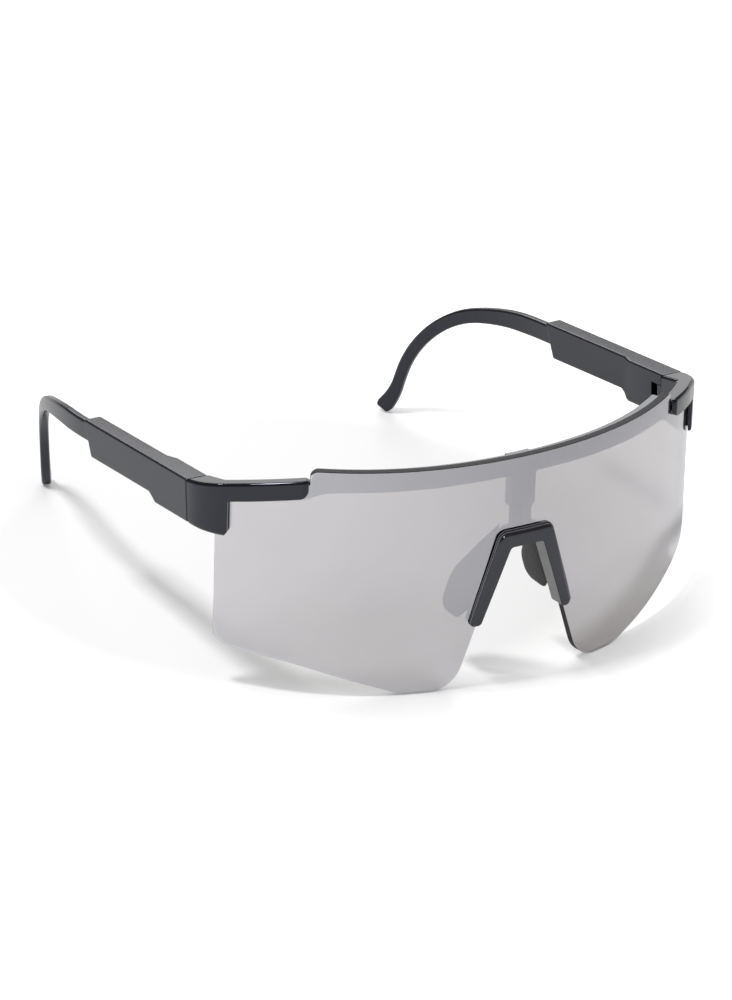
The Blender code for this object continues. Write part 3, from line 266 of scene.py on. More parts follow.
# Sizes that follow from the ones above
LENS_TOP_HALF_WIDTH = LENS_HALF_WIDTH - NOTCH_WIDTH
LENS_SIDE_DOWN = LENS_HEIGHT - LENS_SIDE_UP
LENS_KNEE_ACROSS = LENS_HALF_WIDTH - LENS_KNEE_IN
LENS_KNEE_DOWN = LENS_HEIGHT - LENS_KNEE_UP
LENS_REACH = LENS_SAG + LENS_WRAP_SAG + LENS_END_REACH
LOBE_INNER_ACROSS = CUTOUT_TOP_ACROSS + FLANK_SLANT * (LENS_HEIGHT - CUTOUT_TOP_DOWN)
LOBE_OUTER_ACROSS = LOBE_INNER_ACROSS + LOBE_WIDTH
BAR_HALF_WIDTH = LENS_TOP_HALF_WIDTH - BAR_INSIDE_TOP
BAR_END_ACROSS = BAR_HALF_WIDTH - BAR_END_IN
BAR_WAIST_ACROSS = BAR_HALF_WIDTH - BAR_WAIST_IN
BAR_FLARE_ACROSS = BAR_HALF_WIDTH + BAR_FLARE_OUT
GUSSET_ACROSS = LENS_HALF_WIDTH - GUSSET_IN
END_ARM_ACROSS = LENS_TOP_HALF_WIDTH + END_ARM_OUT
END_HALF_WIDTH = LENS_HALF_WIDTH + END_OVERHANG
END_CORNER_ACROSS = LENS_HALF_WIDTH - END_CORNER_IN
END_INNER_ACROSS = LENS_HALF_WIDTH - END_INNER_IN
TOOTH_ACROSS = LENS_HALF_WIDTH - TOOTH_IN
TEMPLE_TOP = LENS_HEIGHT - TEMPLE_TOP_DOWN
TIP_STRAIGHT_END = SLEEVE_LENGTH + TIP_STRAIGHT_BEYOND
TIP_BEND_START = SLEEVE_LENGTH + TIP_BEND_BEYOND
SPRING_BACK = SLEEVE_LENGTH - SPRING_FROM_END
BAR_FRONT = LENS_THICKNESS + GAP
GUSSET_REAR = BAR_FRONT + GUSSET_THICKNESS
BAR_REAR = BAR_FRONT + BAR_THICKNESS
STEM_REAR = BAR_FRONT + STEM_THICKNESS
TANG_REAR = BAR_FRONT + (STEM_THICKNESS + TANG_THICKNESS) / 2
CARRIER_FRONT = TANG_REAR - CARRIER_THICKNESS
CARRIER_FOOT_INNER = CUTOUT_TOP_ACROSS + FLANK_SLANT * (BRIDGE_FOOT_DOWN - CUTOUT_TOP_DOWN)
END_BOTTOM = TEMPLE_TOP - END_HEIGHT
PIN_INSIDE = KNUCKLE_THICKNESS - PIN_FROM_INSIDE
TIP_INSIDE = (SLEEVE_THICKNESS - TIP_THICKNESS) / 2
CHANNEL_FLOOR = TIP_DOWN + TIP_HEIGHT / 2 + GAP
SPRING_POCKET = SPRING_RISE + SPRING_THICKNESS + GAP

# Finer shapes that only the looks have
LENS_EDGE = 0.2 * MM
CARRIER_EDGE = 0.2 * MM
EDGE_STEPS = 4
RIDGE_HEIGHT = 0.14 * MM
RIDGE_FADE = 0.4 * MM
RIDGE_SHARES = ((0.28, 0), (0.32, 1), (0.40, 1), (0.44, 0), (0.66, 0), (0.70, 1), (0.78, 1), (0.82, 0))
PAD_RINGS = 8
PAD_CROWN_REACH = 0.62
PAD_CENTRE_RISE = 1.05
PAD_TOP_LEFT = 21.6 * MM
PAD_TOP_RIGHT = 18.6 * MM
PAD_FOOT_LEFT = 41.5 * MM
PAD_FOOT_RIGHT = 43.8 * MM

# Values of the finishes
TONE_PLACES = (0.3, 0.7)
SOCKETS = {
    "metallic": "Metallic",
    "clear": "Transmission Weight",
    "ior": "IOR",
    "specular": "Specular IOR Level",
    "tint": "Specular Tint",
}
COATING_TINT = (0.88, 0.9, 1.0, 1)
LENS_IOR = 1.5
FINISH_VALUES = {
    "lens_mirror": dict(
        color=(0.70, 0.70, 0.743), roughness=0.05, metallic=0.6, clear=1.0, ior=LENS_IOR,
        tones=((60, 2), (0.69, 0.69, 0.733), (0.712, 0.712, 0.755)), grain=((400, 4), 0.03, 0.07)),
    "lens_tint": dict(
        color=(0.292, 0.245, 0.198), roughness=0.02, clear=1.0, ior=LENS_IOR,
        tones=((60, 2), (0.285, 0.24, 0.193), (0.3, 0.25, 0.203)), grain=((300, 3), 0.0, 0.03)),
    "lens_rim": dict(
        color=(0.038, 0.037, 0.04), roughness=0.35, specular=0.15, alphas=(1.0, 0.5),
        tones=((500, 3), (0.032, 0.031, 0.034), (0.044, 0.043, 0.046)), grain=((900, 2), 0.52, 0.66)),
    "gloss_black": dict(
        color=(0.009, 0.0095, 0.0145), roughness=0.07, specular=0.55, tint=COATING_TINT,
        tones=((120, 2), (0.0083, 0.0088, 0.0135), (0.0097, 0.0102, 0.0155)),
        grain=((350, 4), 0.05, 0.1), bump=((260, 1), 0.1, 0.006 * MM)),
    "nose_gloss": dict(
        color=(0.03, 0.03, 0.036), roughness=0.09, specular=0.7, tint=COATING_TINT,
        tones=((200, 2), (0.028, 0.028, 0.034), (0.033, 0.033, 0.0395)), grain=((350, 3), 0.07, 0.12)),
    # Light grey on the tops of the nose U's ridges: a painted highlight, standing in for the light that their
    # edges catch
    "ridge_painted_highlight": dict(
        color=(0.34, 0.34, 0.35), roughness=0.3,
        tones=((900, 3), (0.3, 0.3, 0.31), (0.38, 0.38, 0.39)), grain=((1200, 3), 0.24, 0.36)),
    "bridge_lining": dict(
        color=(0.26, 0.26, 0.268), roughness=0.42,
        tones=((300, 3), (0.24, 0.24, 0.248), (0.28, 0.28, 0.288)), grain=((900, 3), 0.36, 0.5)),
    "temple_black": dict(
        color=(0.013, 0.0135, 0.0195), roughness=0.26, tint=COATING_TINT,
        tones=((90, 2), (0.012, 0.0125, 0.018), (0.014, 0.0145, 0.021)),
        grain=((200, 2), 0.23, 0.27), bump=((800, 2), 0.1, 0.004 * MM)),
    "frame_black": dict(
        color=(0.014, 0.0145, 0.02), roughness=0.26, tint=COATING_TINT,
        tones=((110, 2), (0.013, 0.0135, 0.0187), (0.015, 0.0155, 0.0215)),
        grain=((200, 2), 0.24, 0.3), bump=((800, 2), 0.1, 0.004 * MM)),
    "pad_rubber": dict(
        color=(0.036, 0.036, 0.039), roughness=0.62,
        tones=((200, 3), (0.032, 0.032, 0.035), (0.042, 0.042, 0.045)),
        grain=((900, 3), 0.54, 0.72), bump=((4000, 3), 0.2, 0.03 * MM)),
    "pin_steel": dict(
        color=(0.55, 0.55, 0.56), roughness=0.3, metallic=1.0,
        tones=((900, 3, (1, 1, 6)), (0.47, 0.47, 0.48), (0.6, 0.6, 0.61)), grain=((1500, 3), 0.22, 0.4)),
}

# Camera, from a fit to edges, seams and contact points of the photograph
CAMERA_AZIMUTH = math.radians(-33.21)
CAMERA_ELEVATION = math.radians(25.83)
CAMERA_ROLL = math.radians(3.25)
CAMERA_DISTANCE = 1402.94 * MM
CAMERA_TARGET = Vector((-1.09 * MM, 30.0 * MM, 17.05 * MM))
CAMERA_LENS = 199.82
SENSOR_WIDTH = 36.0
CAMERA_REACH = 20.0

# Stage
FLOOR_HALF = 3.0
FLOOR_DROP = 0.05 * MM
FLOOR_TONE = 0.8
# The glow that the camera sees on the floor grows from the near lift to the far one between these distances
# from FLOOR_CENTRE: painted light that fades the object's shadow further out
FLOOR_LIFT_NEAR = 0.14
FLOOR_LIFT_FAR = 0.6
FLOOR_NEAR = 0.075
FLOOR_FAR = 0.115
FLOOR_CENTRE = (-0.015, 0.015, 0)
# Glow of the floor that only reflections see, stronger towards -X: a painted reflection in the lens's mirror
MIRRORED_LEFT = 0.2
MIRRORED_RIGHT = 0.0
MIRRORED_SPAN = 0.1
WORLD_LIGHT = 0.375
WORLD_SEEN = 1.0
WORLD_DARK = 0.1
HORIZON_LOW = 0.03
HORIZON_HIGH = 0.12

# Name, place, aim, size and power of each light
LIGHTS = (
    ("key", (-0.42, 0.08, 1.0), (0, 0, 0), 0.17, 5.2),
    ("glint", (-0.4, 0.45, 1.0), (0, 0, 0.05), 0.08, 1.1),
    ("back_top", (0.8, 1.25, 1.0), (0, 0, 0.03), 1.05, 13.2),
)


def turned(arm, angle):
    """A plane vector turned by an angle."""
    return Vector((arm.x * math.cos(angle) - arm.y * math.sin(angle),
                   arm.x * math.sin(angle) + arm.y * math.cos(angle)))


def rounded(corners):
    """Closed outline from (x, y, radius) corners, each radius limited by the sides that it joins."""
    outline = []
    for index, (x, y, radius) in enumerate(corners):
        here = Vector((x, y))
        before = Vector(corners[index - 1][:2]) - here
        after = Vector(corners[(index + 1) % len(corners)][:2]) - here
        turn = math.pi - before.angle(after)
        reach = min(radius * math.tan(turn / 2), before.length / 2, after.length / 2)
        if reach < WELD or turn < FLAT_ANGLE:
            outline.append(here)
            continue
        start = here + before.normalized() * reach
        end = here + after.normalized() * reach
        arc_radius = reach / math.tan(turn / 2)
        middle = here + (before.normalized() + after.normalized()).normalized() * (
            arc_radius / math.cos(turn / 2))
        steps = max(math.ceil(turn / ARC_STEP), math.ceil(arc_radius * turn / BEND_STEP))
        way = math.copysign(turn, (start - middle).cross(end - middle))
        for step in range(steps + 1):
            outline.append(middle + turned(start - middle, way * step / steps))
    return outline


def both_sides(corners):
    """Corners of a symmetric outline, from those on +X in order from top to bottom."""
    return corners + [(-x, y, radius) for x, y, radius in reversed(corners)]


def grown(outline, margin):
    """The outline moved outwards by a margin, for a clearance."""
    area = sum(a.cross(b) for a, b in zip(outline, outline[1:] + outline[:1]))
    way = margin if area > 0 else -margin
    moved = []
    for index, here in enumerate(outline):
        into = (here - outline[index - 1]).normalized()
        out = (outline[(index + 1) % len(outline)] - here).normalized()
        normal = Vector((into.y + out.y, -into.x - out.x)).normalized()
        side = Vector((out.y, -out.x))
        moved.append(here + normal * way / normal.dot(side))
    return moved


def make_outward(obj):
    """Turn the faces of a closed mesh outwards."""
    bm = bmesh.new()
    bm.from_mesh(obj.data)
    bmesh.ops.recalc_face_normals(bm, faces=bm.faces)
    bm.to_mesh(obj.data)
    bm.free()


def mesh_object(name, bm):
    """Object around a finished bmesh."""
    mesh = bpy.data.meshes.new(name)
    bm.to_mesh(mesh)
    bm.free()
    return bpy.data.objects.new(name, mesh)


def settled(obj):
    """The object's mesh with its modifiers applied, in its own frame."""
    bpy.context.view_layer.update()
    evaluated = obj.evaluated_get(bpy.context.evaluated_depsgraph_get())
    return bpy.data.meshes.new_from_object(evaluated)


def flat_solid(name, outline, thickness):
    """Bmesh of an outline extruded to half its thickness on each side of its plane."""
    curve = bpy.data.curves.new(name, "CURVE")
    curve.dimensions = "2D"
    curve.fill_mode = "BOTH"
    curve.extrude = thickness / 2
    spline = curve.splines.new("POLY")
    spline.points.add(len(outline) - 1)
    spline.use_cyclic_u = True
    for point, (x, y) in zip(spline.points, outline):
        point.co = (x, y, 0, 1)
    source = bpy.data.objects.new(name, curve)
    bpy.context.scene.collection.objects.link(source)
    mesh = settled(source)
    bm = bmesh.new()
    bm.from_mesh(mesh)
    bmesh.ops.remove_doubles(bm, verts=bm.verts, dist=WELD)
    bmesh.ops.dissolve_limit(bm, angle_limit=FLAT_ANGLE, verts=bm.verts, edges=bm.edges)
    bpy.data.objects.remove(source)
    bpy.data.meshes.remove(mesh)
    return bm


def sag(across):
    """How far back the lens's front lies at a distance from its middle."""
    share = abs(across) / LENS_HALF_WIDTH
    return LENS_SAG * share ** 2 + LENS_WRAP_SAG * share ** 4


def sag_slope(across):
    """Slope of the lens's section there."""
    share = across / LENS_HALF_WIDTH
    return (2 * LENS_SAG * share + 4 * LENS_WRAP_SAG * share ** 3) / LENS_HALF_WIDTH


def bent(across, down, depth):
    """Place of a point of the flat drawing, at a depth behind the lens's front."""
    slope = sag_slope(across)
    length = math.hypot(1, slope)
    x = across - depth * slope / length
    y = sag(across) + depth / length - LENS_REACH - down * math.tan(LENS_LEAN)
    return Vector((x, y, LENS_HEIGHT - down))


def flat_plate(name, outline, front, rear):
    """Plate between two depths behind the lens's front, still flat. Outline points are (across, down)."""
    bm = flat_solid(name, [(across, -down) for across, down in outline], rear - front)
    bmesh.ops.translate(bm, verts=bm.verts, vec=(0, 0, -(front + rear) / 2))
    plate = mesh_object(name, bm)
    WORK.objects.link(plate)
    return plate


def flat_block(name, across, down, depth):
    """Flat plate with four straight sides, from (start, end) pairs."""
    corners = [(across[0], down[0]), (across[1], down[0]), (across[1], down[1]), (across[0], down[1])]
    return flat_plate(name, corners, depth[0], depth[1])


def bend(plate, cutters=(), offset=0.0):
    """Cut a flat plate, divide it into upright strips and bend it to the lens's curve.

    The strips lie a step apart. The offset keeps a cutter's strips clear of those of what it cuts.
    """
    for cutter in cutters:
        boolean(plate, cutter)
    name = plate.name
    mesh = settled(plate)
    bm = bmesh.new()
    bm.from_mesh(mesh)
    reach = max(abs(vertex.co.x) for vertex in bm.verts)
    strips = math.ceil(reach / BEND_STEP)
    for strip in range(-strips, strips + 1):
        geometry = list(bm.verts) + list(bm.edges) + list(bm.faces)
        cut = Vector((strip * BEND_STEP + offset, 0, 0))
        bmesh.ops.bisect_plane(bm, geom=geometry, dist=WELD, plane_co=cut, plane_no=Vector((1, 0, 0)))
    for vertex in bm.verts:
        vertex.co = bent(vertex.co.x, -vertex.co.y, -vertex.co.z)
    bmesh.ops.triangulate(bm, faces=bm.faces)
    for used in (plate, *cutters):
        bpy.data.objects.remove(used)
    bpy.data.meshes.remove(mesh)
    return mesh_object(name, bm)


def boolean(target, cutter, operation="DIFFERENCE"):
    """Cut one object with another, or join it."""
    modifier = target.modifiers.new(cutter.name, "BOOLEAN")
    modifier.operation = operation
    modifier.solver = "EXACT"
    modifier.object = cutter


def round_edges(obj, width, angle=EDGE_ANGLE):
    """Bevel the sharp edges."""
    modifier = obj.modifiers.new("edges", "BEVEL")
    modifier.width = width
    modifier.segments = ROUND_SEGMENTS
    modifier.limit_method = "ANGLE"
    modifier.angle_limit = angle
    return modifier


def lens_outline():
    """Outline of the shield, with its notched upper corners and its nose cut-out."""
    right = [
        (LENS_TOP_HALF_WIDTH, 0, LENS_TOP_ROUND),
        (LENS_TOP_HALF_WIDTH, NOTCH_DEPTH_INNER, LENS_SMALL_ROUND),
        (LENS_HALF_WIDTH, NOTCH_DEPTH_OUTER, LENS_SMALL_ROUND),
        (LENS_HALF_WIDTH, LENS_SIDE_DOWN, LENS_SIDE_ROUND),
        (LENS_KNEE_ACROSS, LENS_KNEE_DOWN, LENS_KNEE_ROUND),
        (LOBE_OUTER_ACROSS, LENS_HEIGHT, LOBE_OUTER_ROUND),
        (LOBE_INNER_ACROSS, LENS_HEIGHT, LOBE_INNER_ROUND),
        (CUTOUT_TOP_ACROSS, CUTOUT_TOP_DOWN, CUTOUT_ROUND),
    ]
    return rounded(both_sides(right))


def brow_outline():
    """Outline of the bar with its stem and gussets."""
    notch_slope = (NOTCH_DEPTH_OUTER - NOTCH_DEPTH_INNER) / (LENS_HALF_WIDTH - LENS_TOP_HALF_WIDTH)
    gusset_top = NOTCH_DEPTH_INNER + notch_slope * (GUSSET_ACROSS - LENS_TOP_HALF_WIDTH)
    right = [
        (BAR_HALF_WIDTH, BAR_TOP_DOWN, BAR_TOP_ROUND),
        (BAR_HALF_WIDTH, NOTCH_DEPTH_INNER, 0),
        (GUSSET_ACROSS, gusset_top, 0),
        (GUSSET_ACROSS, GUSSET_DOWN, GUSSET_ROUND),
        (BAR_FLARE_ACROSS, BAR_FLARE_DOWN, BAR_WAIST_ROUND),
        (BAR_WAIST_ACROSS, BAR_WAIST_DOWN, BAR_WAIST_ROUND),
        (BAR_END_ACROSS, BAR_END_DOWN, BAR_WAIST_ROUND),
        (STEM_HALF_WIDTH, BAR_BOTTOM_DOWN, STEM_CHAMFER),
        (STEM_HALF_WIDTH, STEM_DOWN - STEM_CHAMFER, 0),
        (STEM_HALF_WIDTH - STEM_CHAMFER, STEM_DOWN, 0),
    ]
    return rounded(both_sides(right))


def lens_clearance(rear):
    """The space of the lens with a gap all round, still flat, as far back as a depth."""
    return flat_plate("lens_clearance", grown(lens_outline(), GAP), -GAP, rear)


def make_brow_frame():
    """Bar, stem and gussets, each of its own thickness, with a socket in the stem."""
    plate = flat_plate("brow_frame", brow_outline(), BAR_FRONT, STEM_REAR)
    height = (-OVERRUN, GUSSET_DOWN + OVERRUN)
    step = (BAR_HALF_WIDTH + LENS_TOP_HALF_WIDTH) / 2
    outside = GUSSET_ACROSS + OVERRUN
    cutters = []
    for side in (1, -1):
        cutters.append(flat_block("bar_back", (side * STEM_HALF_WIDTH, side * step), height,
                                  (BAR_REAR, STEM_REAR + OVERRUN)))
        cutters.append(flat_block("gusset_back", (side * step, side * outside), height,
                                  (GUSSET_REAR, STEM_REAR + 2 * OVERRUN)))
    half = TANG_HALF_WIDTH + GAP
    cutters.append(flat_block("socket", (-half, half), (STEM_DOWN - SOCKET_DEPTH, STEM_DOWN + OVERRUN),
                              (TANG_REAR - TANG_THICKNESS - GAP, TANG_REAR + GAP)))
    for cutter in cutters:
        make_outward(cutter)
    return bend(plate, cutters)


def join_rings(bm, ring, following):
    """Faces all the way between two rings of vertices."""
    for index in range(len(ring)):
        bm.faces.new((ring[index - 1], ring[index], following[index], following[index - 1]))


def lofted_plate(name, sections):
    """Flat solid through outlines with the same number of points, from front to back.

    Each point is (across, down, depth).
    """
    bm = bmesh.new()
    rings = [[bm.verts.new((across, -down, -depth)) for across, down, depth in section]
             for section in sections]
    for ring, following in zip(rings, rings[1:]):
        join_rings(bm, ring, following)
    bm.faces.new(rings[0])
    bm.faces.new(list(reversed(rings[-1])))
    bmesh.ops.recalc_face_normals(bm, faces=bm.faces)
    plate = mesh_object(name, bm)
    WORK.objects.link(plate)
    return plate


def bridge_proud(down):
    """How far the nose bridge's face stands in front of the lens."""
    share = (down - BRIDGE_TOP_DOWN) / (BRIDGE_FOOT_DOWN - BRIDGE_TOP_DOWN)
    return BRIDGE_PROUD_TOP + (BRIDGE_PROUD_FOOT - BRIDGE_PROUD_TOP) * share


def make_nose_carrier():
    """The plate behind the lens, with its tang thinned to fit the stem's socket."""
    right = [
        (TANG_HALF_WIDTH, STEM_DOWN - SOCKET_DEPTH + GAP, TANG_ROUND),
        (TANG_HALF_WIDTH, CARRIER_TOP_DOWN, 0),
        (CARRIER_TOP_ACROSS, CARRIER_TOP_DOWN, CARRIER_ROUND),
        (CARRIER_SHOULDER_ACROSS, CARRIER_SHOULDER_DOWN, CARRIER_ROUND),
        (CARRIER_FOOT_OUTER, BRIDGE_FOOT_DOWN, CARRIER_ROUND),
        (CARRIER_FOOT_INNER, BRIDGE_FOOT_DOWN, CARRIER_ROUND),
        (CUTOUT_TOP_ACROSS, CUTOUT_TOP_DOWN, CUTOUT_ROUND),
    ]
    plate = flat_plate("nose_carrier", rounded(both_sides(right)), CARRIER_FRONT, TANG_REAR)
    round_edges(plate, CARRIER_EDGE)
    tang_front = flat_block("tang_front", (-STEM_HALF_WIDTH, STEM_HALF_WIDTH), (0, STEM_DOWN + GAP),
                            (0, TANG_REAR - TANG_THICKNESS))
    return bend(plate, [tang_front])


def end_top(y):
    """Height of an end piece's sloping top."""
    return TEMPLE_TOP - math.tan(END_SLOPE) * y


def curve_run(start, end, depth):
    """Plan points along the lens's curve at a depth, at the level of the temple's top."""
    steps = math.ceil(abs(end - start) / BEND_STEP)
    return [bent(start + (end - start) * step / steps, LENS_HEIGHT - TEMPLE_TOP, depth).xy
            for step in range(steps + 1)]


def apart(run):
    """The points of a run that leave its two ends room for their rounds."""
    return [point for point in run
            if min((point - run[0]).length, (point - run[-1]).length) > 2 * ARM_TIP_ROUND]


def end_plan():
    """Plan outline of an end piece, run on past the seam."""
    front = curve_run(END_ARM_ACROSS, END_CORNER_ACROSS, -END_PROUD)
    rear = curve_run(END_INNER_ACROSS, END_ARM_ACROSS, GUSSET_REAR)
    heading = front[-1] - front[-2]
    corner_back = front[-1].y + (END_HALF_WIDTH - front[-1].x) * heading.y / heading.x
    corners = [(front[0].x, front[0].y, ARM_TIP_ROUND)]
    corners += [(point.x, point.y, 0) for point in apart(front)]
    corners += [
        (END_HALF_WIDTH, corner_back, END_CORNER_ROUND),
        (END_HALF_WIDTH, corner_back + END_CORNER_ROUND + OVERRUN, 0),
        (END_HALF_WIDTH - KNUCKLE_THICKNESS, corner_back + END_CORNER_ROUND + OVERRUN, 0),
        (rear[0].x, rear[0].y, END_INNER_ROUND),
    ]
    corners += [(point.x, point.y, 0) for point in apart(rear)]
    corners += [(rear[-1].x, rear[-1].y, ARM_TIP_ROUND)]
    return rounded(corners)


def make_end_body():
    """Plan outline raised between the level bottom and the sloping top, leaning with the lens."""
    bm = flat_solid("end_piece_left", end_plan(), END_HEIGHT)
    for vertex in bm.verts:
        level = end_top(vertex.co.y) if vertex.co.z > 0 else END_BOTTOM
        vertex.co.z = level
        vertex.co.y += (level - TEMPLE_TOP) * math.tan(LENS_LEAN)
    body = mesh_object("end_piece_left", bm)
    round_edges(body, END_EDGE)
    return body


def arm_bottom(across):
    """How far down the lower edge of an end piece's arm lies."""
    return LENS_HEIGHT - end_top(bent(across, LENS_HEIGHT - TEMPLE_TOP, -END_PROUD).y) + END_ARM_HEIGHT


def make_below_arm():
    """The space under an end piece's arm, beside its tooth, with the arm's rounded heel."""
    heel_across = END_ARM_ACROSS + ARM_HEEL_ROUND
    heel_down = arm_bottom(heel_across)
    heel = [(heel_across - ARM_HEEL_ROUND * math.cos(angle),
             heel_down - ARM_HEEL_ROUND * (1 - math.sin(angle)), 0)
            for angle in (math.pi / 2 * step / HEEL_STEPS for step in range(HEEL_STEPS + 1))]
    steps = math.ceil((TOOTH_ACROSS - heel_across) / BEND_STEP)
    edge = [heel_across + (TOOTH_ACROSS - heel_across) * step / steps for step in range(1, steps)]
    bottom = LENS_HEIGHT - END_BOTTOM
    outside = END_ARM_ACROSS - OVERRUN
    corners = [(outside, heel[0][1], 0)] + heel + [(across, arm_bottom(across), 0) for across in edge] + [
        (TOOTH_ACROSS, arm_bottom(TOOTH_ACROSS), TOOTH_ROUND),
        (TOOTH_ACROSS, bottom - TOOTH_CHAMFER_HEIGHT, 0),
        (TOOTH_ACROSS + TOOTH_CHAMFER_WIDTH, bottom, 0),
        (TOOTH_ACROSS + TOOTH_CHAMFER_WIDTH, bottom + OVERRUN, 0),
        (outside, bottom + OVERRUN, 0),
    ]
    plate = flat_plate("below_arm", rounded(corners), -END_PROUD - OVERRUN, GUSSET_REAR + OVERRUN)
    return bend(plate, offset=BEND_STEP / 4)


def make_gusset_clearance():
    """The brow frame's gusset with a gap all round."""
    plate = flat_plate("gusset_clearance", grown(brow_outline(), GAP), LENS_THICKNESS, GUSSET_REAR + OVERRUN)
    return bend(plate, offset=BEND_STEP / 2)


def temple_matrix(side):
    """Frame of a temple: x outwards, y back along it and z up, with its origin on the hinge pin."""
    seam = Matrix.Translation((side * END_HALF_WIDTH, 0, TEMPLE_TOP))
    turn = Matrix.Rotation(-TEMPLE_SLOPE, 4, "X") @ Matrix.Rotation(side * TEMPLE_SPLAY, 4, "Z")
    pin = Matrix.Translation((-side * PIN_INSIDE, PIN_BACK, 0))
    return seam @ turn @ pin


def upright_cylinder(name, radius, top, bottom, back=0.0):
    """Cylinder parallel to the hinge pin, between two distances down, at a distance back from the pin."""
    bm = bmesh.new()
    bmesh.ops.create_cone(bm, cap_ends=True, segments=HOLE_SIDES, radius1=radius, radius2=radius,
                          depth=bottom - top)
    bmesh.ops.translate(bm, verts=bm.verts, vec=(0, back, -(top + bottom) / 2))
    return mesh_object(name, bm)


def temple_box(name, inside, back, down):
    """Box in the temple's frame, from (start, end) pairs inwards, back from the seam and down."""
    size = Vector((inside[1] - inside[0], back[1] - back[0], down[1] - down[0]))
    middle = Vector((PIN_INSIDE - sum(inside) / 2, sum(back) / 2 - PIN_BACK, -sum(down) / 2))
    bm = bmesh.new()
    bmesh.ops.create_cube(bm, size=1)
    bmesh.ops.scale(bm, verts=bm.verts, vec=size)
    bmesh.ops.translate(bm, verts=bm.verts, vec=middle)
    return mesh_object(name, bm)


def make_lug():
    """The end piece's hinge knuckle, a rounded tongue that lies in the sleeve's fork."""
    root = -PIN_BACK - LUG_ROOT
    sweep = [math.pi * step / HOLE_SIDES for step in range(HOLE_SIDES + 1)]
    outline = [Vector((LUG_RADIUS, root))]
    outline += [Vector((LUG_RADIUS * math.cos(angle), LUG_RADIUS * math.sin(angle))) for angle in sweep]
    outline += [Vector((-LUG_RADIUS, root))]
    bm = flat_solid("lug", outline, LUG_HEIGHT)
    bmesh.ops.translate(bm, verts=bm.verts, vec=(0, 0, -LUG_DOWN - LUG_HEIGHT / 2))
    return mesh_object("lug", bm)


def make_end_piece():
    """Body, cut by the lens, the gusset, the seam and the space under its arm, with its lug."""
    pin_frame = temple_matrix(1)
    body = make_end_body()
    behind_seam = temple_box("behind_seam", (-OVERRUN, KNUCKLE_THICKNESS + OVERRUN),
                             (-GAP / 2, END_CORNER_ROUND + 2 * OVERRUN), (-OVERRUN, END_HEIGHT + OVERRUN))
    boolean(body, placed(behind_seam, pin_frame))
    boolean(body, placed(make_below_arm()))
    boolean(body, placed(bend(lens_clearance(LENS_THICKNESS + GAP))))
    boolean(body, placed(make_gusset_clearance()))
    boolean(body, placed(make_lug(), pin_frame), "UNION")
    hole = upright_cylinder("lug_hole", HINGE_SCREW_RADIUS + HINGE_EASE, LUG_DOWN - OVERRUN / 4,
                            LUG_DOWN + LUG_HEIGHT + OVERRUN / 4)
    boolean(body, placed(hole, pin_frame))
    return body


def side_solid(name, outline, inside, outside):
    """Solid drawn as (back, down) from the seam, between two distances inwards from the outer face."""
    bm = flat_solid(name, [(back, -down) for back, down in outline], inside - outside)
    middle = (inside + outside) / 2
    for vertex in bm.verts:
        back, height, aside = vertex.co
        vertex.co = Vector((aside + PIN_INSIDE - middle, back - PIN_BACK, height))
    return mesh_object(name, bm)


def plan_solid(name, outline, top, bottom):
    """Solid drawn as (inside, back) from the seam's outer edge, between two distances down."""
    drawn = [(PIN_INSIDE - inside, back - PIN_BACK) for inside, back in outline]
    bm = flat_solid(name, drawn, bottom - top)
    bmesh.ops.translate(bm, verts=bm.verts, vec=(0, 0, -(top + bottom) / 2))
    return mesh_object(name, bm)


